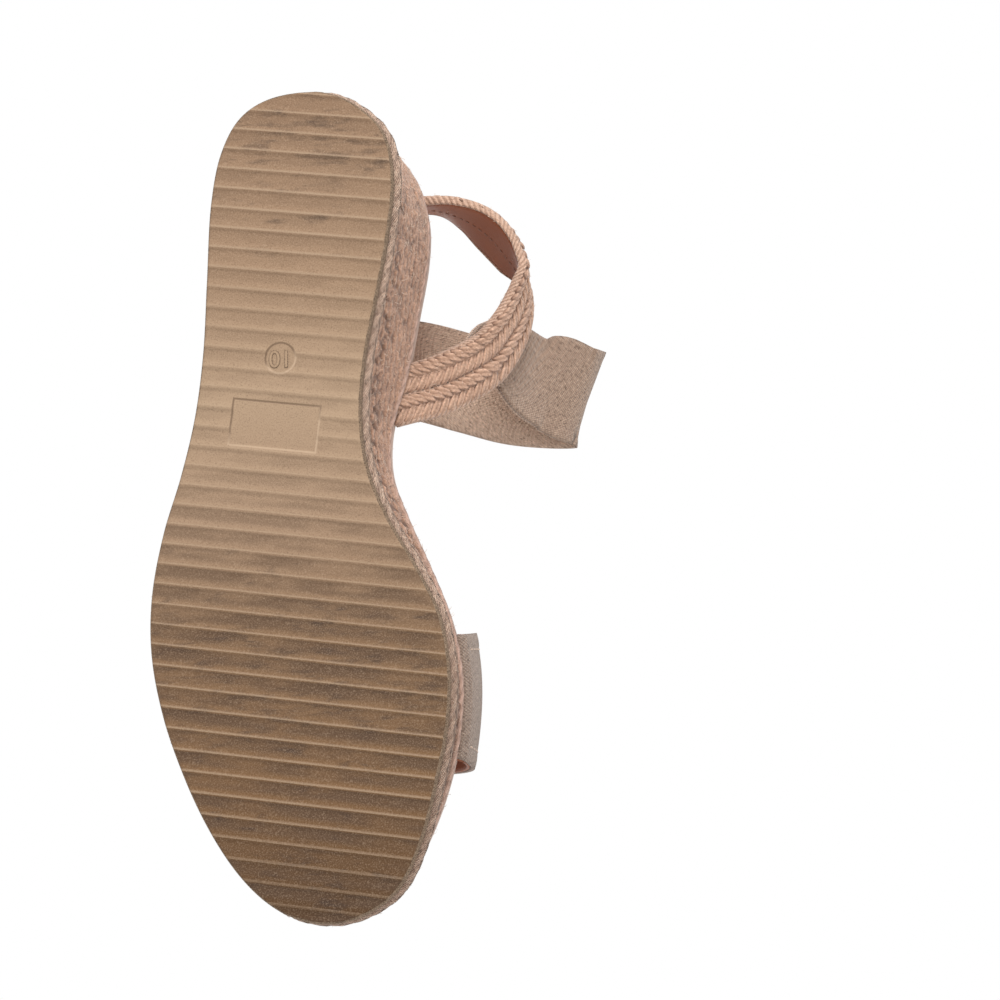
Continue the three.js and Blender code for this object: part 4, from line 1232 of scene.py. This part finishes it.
def stitch_places(line, outs):
    """Stitches along a line of points, with the direction out at each point."""
    run = np.concatenate([[0], np.cumsum(np.linalg.norm(np.diff(line, axis=0), axis=1))])
    places = np.arange(STITCH_LENGTH / 2, run[-1], STITCH_LENGTH + STITCH_GAP)
    made = []
    for place in places:
        at = [np.interp(place, run, line[:, k]) for k in range(3)]
        ahead = [np.interp(place + 0.5, run, line[:, k]) for k in range(3)]
        behind = [np.interp(place - 0.5, run, line[:, k]) for k in range(3)]
        way = [np.interp(place, run, outs[:, k]) for k in range(3)]
        made.append((at, np.array(ahead) - np.array(behind), way, (1, 1, 1)))
    return made


# ---- Vamp ----------------------------------------------------------------------------------------


def vamp_point(across, along):
    """A place on the vamp's middle surface, from the inner side to the outer and from rear to front."""
    inner_y = VAMP_INNER_SIDE["rear"] + (VAMP_INNER_SIDE["front"] - VAMP_INNER_SIDE["rear"]) * along
    outer_y = VAMP_OUTER_SIDE["rear"] + (VAMP_OUTER_SIDE["front"] - VAMP_OUTER_SIDE["rear"]) * along
    stand_off = VAMP_THICKNESS / 2 + GAP - SOCK_INSET
    inner_x = edge_x(TOP_OUTLINE, "inner", inner_y) - stand_off
    outer_x = edge_x(TOP_OUTLINE, "outer", outer_y) + stand_off
    shape = smooth_path([(x, z) for x, z in VAMP_ARCH], across)
    x = (inner_x + outer_x) / 2 + shape[0] * (outer_x - inner_x) / 2
    y = inner_y + (outer_y - inner_y) * across - VAMP_FRONT_REACH * along * math.sin(math.pi * across)
    headroom = VAMP_HEADROOM["rear"] + (VAMP_HEADROOM["front"] - VAMP_HEADROOM["rear"]) * along
    return np.array([x, y, wrap_top_z(y) + shape[1] * (FOOTBED_TOP + headroom)])


def vamp_normal(across, along):
    step = 0.01
    sideways = vamp_point(min(1, across + step), along) - vamp_point(max(0, across - step), along)
    forward = vamp_point(across, min(1, along + step)) - vamp_point(across, max(0, along - step))
    normal = np.cross(forward, sideways)
    return normal / np.linalg.norm(normal)


def layer_from(point, normal, rows, columns, low, high, thicker):
    """A closed ply between two offsets from a surface, thicker where told, with a UV map in millimetres."""
    mids = np.array([[point(i, j) for j in range(columns)] for i in range(rows)])
    normals = np.array([[normal(i, j) for j in range(columns)] for i in range(rows)])
    upper = mids + normals * (high + thicker)[..., None]
    lower = mids + normals * low
    u = np.cumsum(np.linalg.norm(np.diff(mids, axis=0, prepend=mids[:1]), axis=2), axis=0)
    v = np.cumsum(np.linalg.norm(np.diff(mids, axis=1, prepend=mids[:, :1]), axis=2), axis=1)
    uv = np.stack([u, v], axis=2).reshape(-1, 2)
    points = np.concatenate([upper.reshape(-1, 3), lower.reshape(-1, 3)])
    faces = grid_faces(rows, columns)
    count = rows * columns
    faces += [tuple(count + k for k in reversed(face)) for face in faces]
    border = grid_border(rows, columns)
    size = len(border)
    for k in range(size):
        here, ahead = border[k], border[(k + 1) % size]
        faces.append((ahead, here, count + here, count + ahead))
    return points, faces, np.concatenate([uv, uv]), upper


def make_vamp_layer(name, low, high, material, hem, raised):
    """One ply of the vamp. Its ends stop this far over the wrap's top, and a hem has a row of stitches."""
    rows, columns = 96, 34
    margin = 0.01
    across = np.arange(rows) / (rows - 1)
    along = np.arange(columns) / (columns - 1)

    def at(i, j):
        return vamp_point(across[i], margin + (1 - 2 * margin) * along[j])

    def out(i, j):
        return vamp_normal(across[i], margin + (1 - 2 * margin) * along[j])

    folded = hem * np.clip(1 - np.abs(np.minimum(along, 1 - along) - 0.05) / 0.07, 0, 1) ** 0.5
    thicker = np.broadcast_to(folded[None, :], (rows, columns))
    points, faces, uv, upper = layer_from(at, out, rows, columns, low, high, thicker)
    floor = wrap_top_z(points[:, 1]) + raised
    tuck = TUCK * np.clip(1 - (points[:, 2] - floor) / TUCK_RISE, 0, 1)
    points[:, 0] -= np.sign(points[:, 0]) * tuck
    points[:, 2] = np.maximum(points[:, 2], floor)
    base = make_piece(name + "_base", points, faces, material, uv=uv)
    if not hem:
        base.name = name
        return base
    places = []
    for column in (4, columns - 5):
        normals = np.array([out(i, column) for i in range(rows)])
        line = upper[:, column] + ABOVE * normals
        keep = line[:, 2] > wrap_top_z(line[:, 1]) + 2
        places += stitch_places(line[keep], normals[keep])
    return lay_copies(base, name, places, STITCH, PALE_THREAD)


# ---- Ankle strap ---------------------------------------------------------------------------------

LEG_END = 3.0                   # route index where the inner leg hands over to the sling
SLING_END = 16.5                # and the sling to the outer leg
ROOT_DEPTH = 0.7                # route indices that the legs run on into the footbed's edge
BEND_START = 0.6                # the first of the two points worked out for each leg lies this many indices from its root
BEND_SHORT = 0.1
BRAID_COLUMNS = {"front": (-7.1, -2.45), "rear": (2.45, 7.1)}
PLAIT_ANGLE = 37
OUTSIDE_N = STRAP_THICKNESS / 2


def ribbon_points(route, start, end, steps, section):
    """Rings of points along a route. A section is a list of (place across, place outwards)."""
    rings = []
    for index in np.linspace(start, end, steps):
        middle, _, edge, out = route.frame(index)
        rings.append([middle + edge * w + out * n for w, n in section])
    return np.array(rings)


def make_ribbon(name, route, start, end, section, material, hollow_shade):
    """A closed ribbon of one section along a route."""
    step = 1.5
    length = route.distance(end) - route.distance(start)
    steps = max(3, int(length / step))
    rings = ribbon_points(route, start, end, steps, section)
    size = rings.shape[1]
    runs = np.array([route.distance(index) for index in np.linspace(start, end, steps)])
    around = np.concatenate([[0], np.cumsum(np.linalg.norm(np.diff(rings[0], axis=0), axis=1))])
    uv = np.stack([np.repeat(runs, size), np.tile(around, steps)], axis=1)
    faces = grid_faces(steps, size, columns_join=True)
    faces += [tuple(range(size)), tuple((steps - 1) * size + k for k in reversed(range(size)))]
    # An even painted shade over the whole ribbon.
    shade = {"hollow_shade": np.full(steps * size, hollow_shade)}
    return make_piece(name, rings.reshape(-1, 3), faces, material, uv=uv, shades=shade)


def rounded_section(w0, w1, n0, n1, across, corner):
    """A flat section with rounded long edges."""
    widths = np.linspace(w0 + corner, w1 - corner, across)
    middle = (n0 + n1) / 2
    lower = [(w, n0) for w in widths]
    upper = [(w, n1) for w in widths[::-1]]
    return [*lower, (w1, middle), *upper, (w0, middle)]


def plait_places(side, start, end):
    """Strands of a flat plait: two columns whose strands meet like a herringbone."""
    sign = -1 if side == "front" else 1
    columns = sorted(BRAID_COLUMNS[side], key=abs)
    low, high = strap_route.distance(start), strap_route.distance(end)
    rng = np.random.default_rng(SEED + int(10 * start) + (side == "rear"))
    places = []
    for column, (w, lean) in enumerate(zip(columns, (-1, 1))):
        count = int((high - low) / PLAIT_PITCH)
        for k in range(count + 1):
            distance = low + (k + 0.5 * column) * PLAIT_PITCH
            if distance > high:
                continue
            middle, along, edge, out = strap_route.frame(strap_route.index(distance))
            angle = math.radians(PLAIT_ANGLE + rng.normal(0, 3))
            way = along * math.cos(angle) - edge * math.sin(angle) * lean * sign
            tilt = out + edge * sign * (0.3 if column else -0.1)
            sink = 1.15 if column else 0.95
            at = middle + edge * w + out * (OUTSIDE_N - sink + rng.normal(0, 0.06))
            places.append((at, way, tilt, (0.98 + rng.normal(0, 0.03), 1 + rng.normal(0, 0.04), 1)))
    return places


def bed_section(side):
    """What the strands lie on: it wraps the strap's long edge down to the lining's face."""
    sign = -1 if side == "front" else 1
    top, floor, hem = OUTSIDE_N - 1.15, STRAP_LINING - OUTSIDE_N, -0.12 - OUTSIDE_N
    outline = [
        (0.1, floor), (8.9, floor), (8.95, hem), (9.6, hem + 0.1), (9.9, hem + 0.6), (9.9, top - 0.6),
        (9.4, top), (5, top), (0.1, top),
    ]
    return [(sign * w, n) for w, n in outline]


def make_braid(name, side, start, end):
    """Half of the strap's width: a bed, the plait on it and loose fibres."""
    bed = make_ribbon(name + "_bed", strap_route, start, end, bed_section(side), BRAID_BED, hollow_shade=0.1)
    braid = lay_copies(bed, name + "_strands", plait_places(side, start, end), PLAIT_STRAND, BRAID_YARN)
    return add_fuzz(braid, name, BRAID_FUZZ, SEED)


def make_strap_lining(name, start, end):
    """The strap's lining, with a row of stitches down its middle."""
    half, face = STRAP_WIDTH / 2 - 1.15, STRAP_LINING - OUTSIDE_N - 0.05
    section = rounded_section(-half, half, -OUTSIDE_N, face, across=12, corner=0.1)
    base = make_ribbon(name + "_base", strap_route, start, end, section, LEATHER, hollow_shade=0.5)
    steps = max(4, int(8 * (end - start)))
    frames = [strap_route.frame(index) for index in np.linspace(start, end, steps)]
    line = np.array([middle - out * (OUTSIDE_N + ABOVE) for middle, _, _, out in frames])
    outs = np.array([-out for _, _, _, out in frames])
    return lay_copies(base, name, stitch_places(line, outs), STITCH, BROWN_THREAD)


def band_half_width(index):
    return BAND_WIDTH / 2 * float(np.interp(index, range(len(BAND_TAPER)), BAND_TAPER))


def make_band(name, low, high, material, edge_height):
    """One ply of the elastic instep band, rippled a little, with a firm selvedge on its long edges."""
    across = 22
    steps = int(band_route.run[-1] / 1.6)
    indices = [band_route.index(d) for d in np.linspace(0, band_route.run[-1], steps)]
    frames = [band_route.frame(index) for index in indices]

    def at(i, j):
        middle, _, edge, _ = frames[i]
        return middle + edge * band_half_width(indices[i]) * (2 * j / (across - 1) - 1)

    def out(i, j):
        return frames[i][3]

    share = np.linspace(0, 1, across)
    edge_share = np.minimum(share, 1 - share)
    selvedge = edge_height * np.clip(1 - np.abs(edge_share - 0.03) / 0.06, 0, 1) ** 0.5
    run = np.linspace(0, band_route.run[-1], steps)
    ripple = 0.12 * np.sin(run[:, None] / 5.0) * np.cos(np.pi * share[None, :])
    points, faces, uv, _ = layer_from(at, out, steps, across, low, high, selvedge[None, :] + ripple)
    return make_piece(name, points, faces, material, uv=uv)


# ---- Putting it together -------------------------------------------------------------------------


def belongs(piece, body, slot, *nodes):
    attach(piece, body)
    if nodes:
        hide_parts(*nodes)
    return piece


def bridge(piece, start, end, slot, *nodes):
    """A strap piece with its placement baked into its mesh; the model's parts it stands for are hidden."""
    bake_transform(piece)
    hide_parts(*nodes)
    return piece


belongs(make_outsole(), "shoe", "outsole", "outsole")
for mark in make_size_mark():
    belongs(mark, "shoe", "outsole")
wall = belongs(make_wrap(), "shoe", "jute", "jute_wrap")
belongs(fuzz_of(wall, "jute_wall_fuzz", WALL_FUZZ, SEED), "shoe", "jute")
rope = add_fuzz(make_edge_rope(), "edge_rope", ROPE_FUZZ, SEED + 1)
belongs(rope, "shoe", "rope", "sole_edge_braid")
belongs(make_top_cord(), "shoe", "jute")

sock = belongs(make_sock(), "shoe", "lining", "sock_lining")

half = VAMP_THICKNESS / 2
vamp = make_vamp_layer("vamp_cloth", half - VAMP_LINEN, half, VAMP_LINEN_CLOTH, hem=0.35, raised=-1.6)
belongs(vamp, "shoe", "linen", "vamp_linen")
vamp_inside = make_vamp_layer("vamp_inside", -half, VAMP_LINING - half, LEATHER, hem=0, raised=2.2)
belongs(vamp_inside, "shoe", "lining", "vamp_lining")

last = strap_route.count
bends = {
    "inner": (BEND_START, LEG_END - BEND_SHORT),
    "outer": (last - BEND_START, SLING_END + BEND_SHORT),
}
spans = {"inner": (-ROOT_DEPTH, LEG_END), "outer": (SLING_END, last + ROOT_DEPTH)}
for side, (start, end) in spans.items():
    bend = [strap_route.frame(index)[0] * MM for index in bends[side]]
    for row in ("front", "rear"):
        braid = make_braid(f"{side}_leg_{row}_plait", row, start, end)
        bridge(braid, *bend, "braid", f"{side}_leg_{row}_braid")
    lining = make_strap_lining(f"{side}_leg_inside", start, end)
    bridge(lining, *bend, "lining", f"{side}_leg_lining")
for row in ("front", "rear"):
    braid = make_braid(f"sling_{row}_plait", row, LEG_END, SLING_END)
    belongs(braid, "ankle_strap", "braid", f"sling_{row}_braid")
belongs(make_strap_lining("sling_inside", LEG_END, SLING_END), "ankle_strap", "lining", "sling_lining")

band_face = make_band("band_face", BAND_THICKNESS / 2 - 1.0, BAND_THICKNESS / 2, BAND_CLOTH, 0.2)
belongs(band_face, "ankle_strap", "linen", "instep_band_face")
band_back = make_band("band_back", -BAND_THICKNESS / 2, 0.7 - BAND_THICKNESS / 2, BAND_BACK_PAINTED_LIGHT, 0)
belongs(band_back, "ankle_strap", "linen", "instep_band_backing")

for item in (PLAIT_STRAND, STITCH, FIBRE):
    bpy.data.objects.remove(item)

hidden = {"wedge_core": CORK, "insole_board": BOARD, "cushion_pad": FOAM}
for tab in ("inner_strap_tab", "outer_strap_tab", "inner_vamp_tab", "outer_vamp_tab"):
    hidden[tab] = VAMP_LINEN_CLOTH
for node, material in hidden.items():
    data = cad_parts[node].data
    data.materials.clear()
    data.materials.append(material)

# ---- Floor, light and camera ---------------------------------------------------------------------


def make_floor():
    """A pale floor that shows from above and lets the view from below through."""
    mesh = bpy.data.meshes.new("floor")
    half, low = 30.0, -0.3 * MM
    corners = [(x * half, y * half, low) for x, y in ((-1, -1), (1, -1), (1, 1), (-1, 1))]
    mesh.from_pydata(corners, [], [(0, 1, 2, 3)])
    look = Look("floor_paint", 0.9)
    tone = look.noise(look.place((0.002, 0.002, 0.002)), 1.0)
    look.finish(look.mix(tone, (0.9, 0.9, 0.89), (0.93, 0.93, 0.93)))
    clear = look.tree.nodes.new("ShaderNodeBsdfTransparent")
    side = look.tree.nodes.new("ShaderNodeNewGeometry")
    choose = look.tree.nodes.new("ShaderNodeMixShader")
    look.set(choose.inputs[0], side.outputs["Backfacing"])
    look.set(choose.inputs[1], look.shader.outputs[0])
    look.set(choose.inputs[2], clear.outputs[0])
    look.set(look.tree.nodes["Material Output"].inputs["Surface"], choose.outputs[0])
    mesh.materials.append(look.material)
    floor = bpy.data.objects.new("floor", mesh)
    bpy.context.scene.collection.objects.link(floor)
    floor.visible_shadow = False
    floor.visible_diffuse = False
    floor.visible_glossy = False


def add_light(name, place, size, watts):
    """A square lamp aimed at the middle of the sandal."""
    target = (0, 0, 0.03)
    data = bpy.data.lights.new(name, "AREA")
    data.size = size
    data.energy = watts
    light = bpy.data.objects.new(name, data)
    light.location = place
    aim = Vector(target) - Vector(place)
    light.rotation_euler = aim.to_track_quat("-Z", "Y").to_euler()
    bpy.context.scene.collection.objects.link(light)


def make_world():
    """An even white surround."""
    world = bpy.data.worlds.new("studio")
    world.use_nodes = True
    background = world.node_tree.nodes["Background"]
    background.inputs["Color"].default_value = (1, 1, 1, 1)
    background.inputs["Strength"].default_value = 1.0
    bpy.context.scene.world = world


def make_camera():
    """Looks up at the sole from below the toe's inner side."""
    place = Vector((-256.909, -106.964, -975.859)) * MM
    look = Vector((0.190809, 0.106264, 0.975859)).normalized()
    up = Vector((-0.020392, 0.994338, -0.104289))
    right = look.cross(up).normalized()
    up = right.cross(look)
    data = bpy.data.cameras.new("camera")
    data.sensor_width = 36
    data.lens = 113.71
    camera = bpy.data.objects.new("camera", data)
    turn = Matrix((right, up, -look)).transposed().to_4x4()
    camera.matrix_world = Matrix.Translation(place) @ turn
    bpy.context.scene.collection.objects.link(camera)
    bpy.context.scene.camera = camera


make_floor()
make_world()
add_light("heel_side_light", (-0.15, 0.85, -0.6), 0.4, 7)
add_light("soft_front_light", (-0.7, -0.3, -0.8), 0.9, 2)
add_light("top_light", (0.5, 0.4, 1.1), 0.8, 6)
make_camera()
bpy.context.scene.view_settings.view_transform = "Standard"
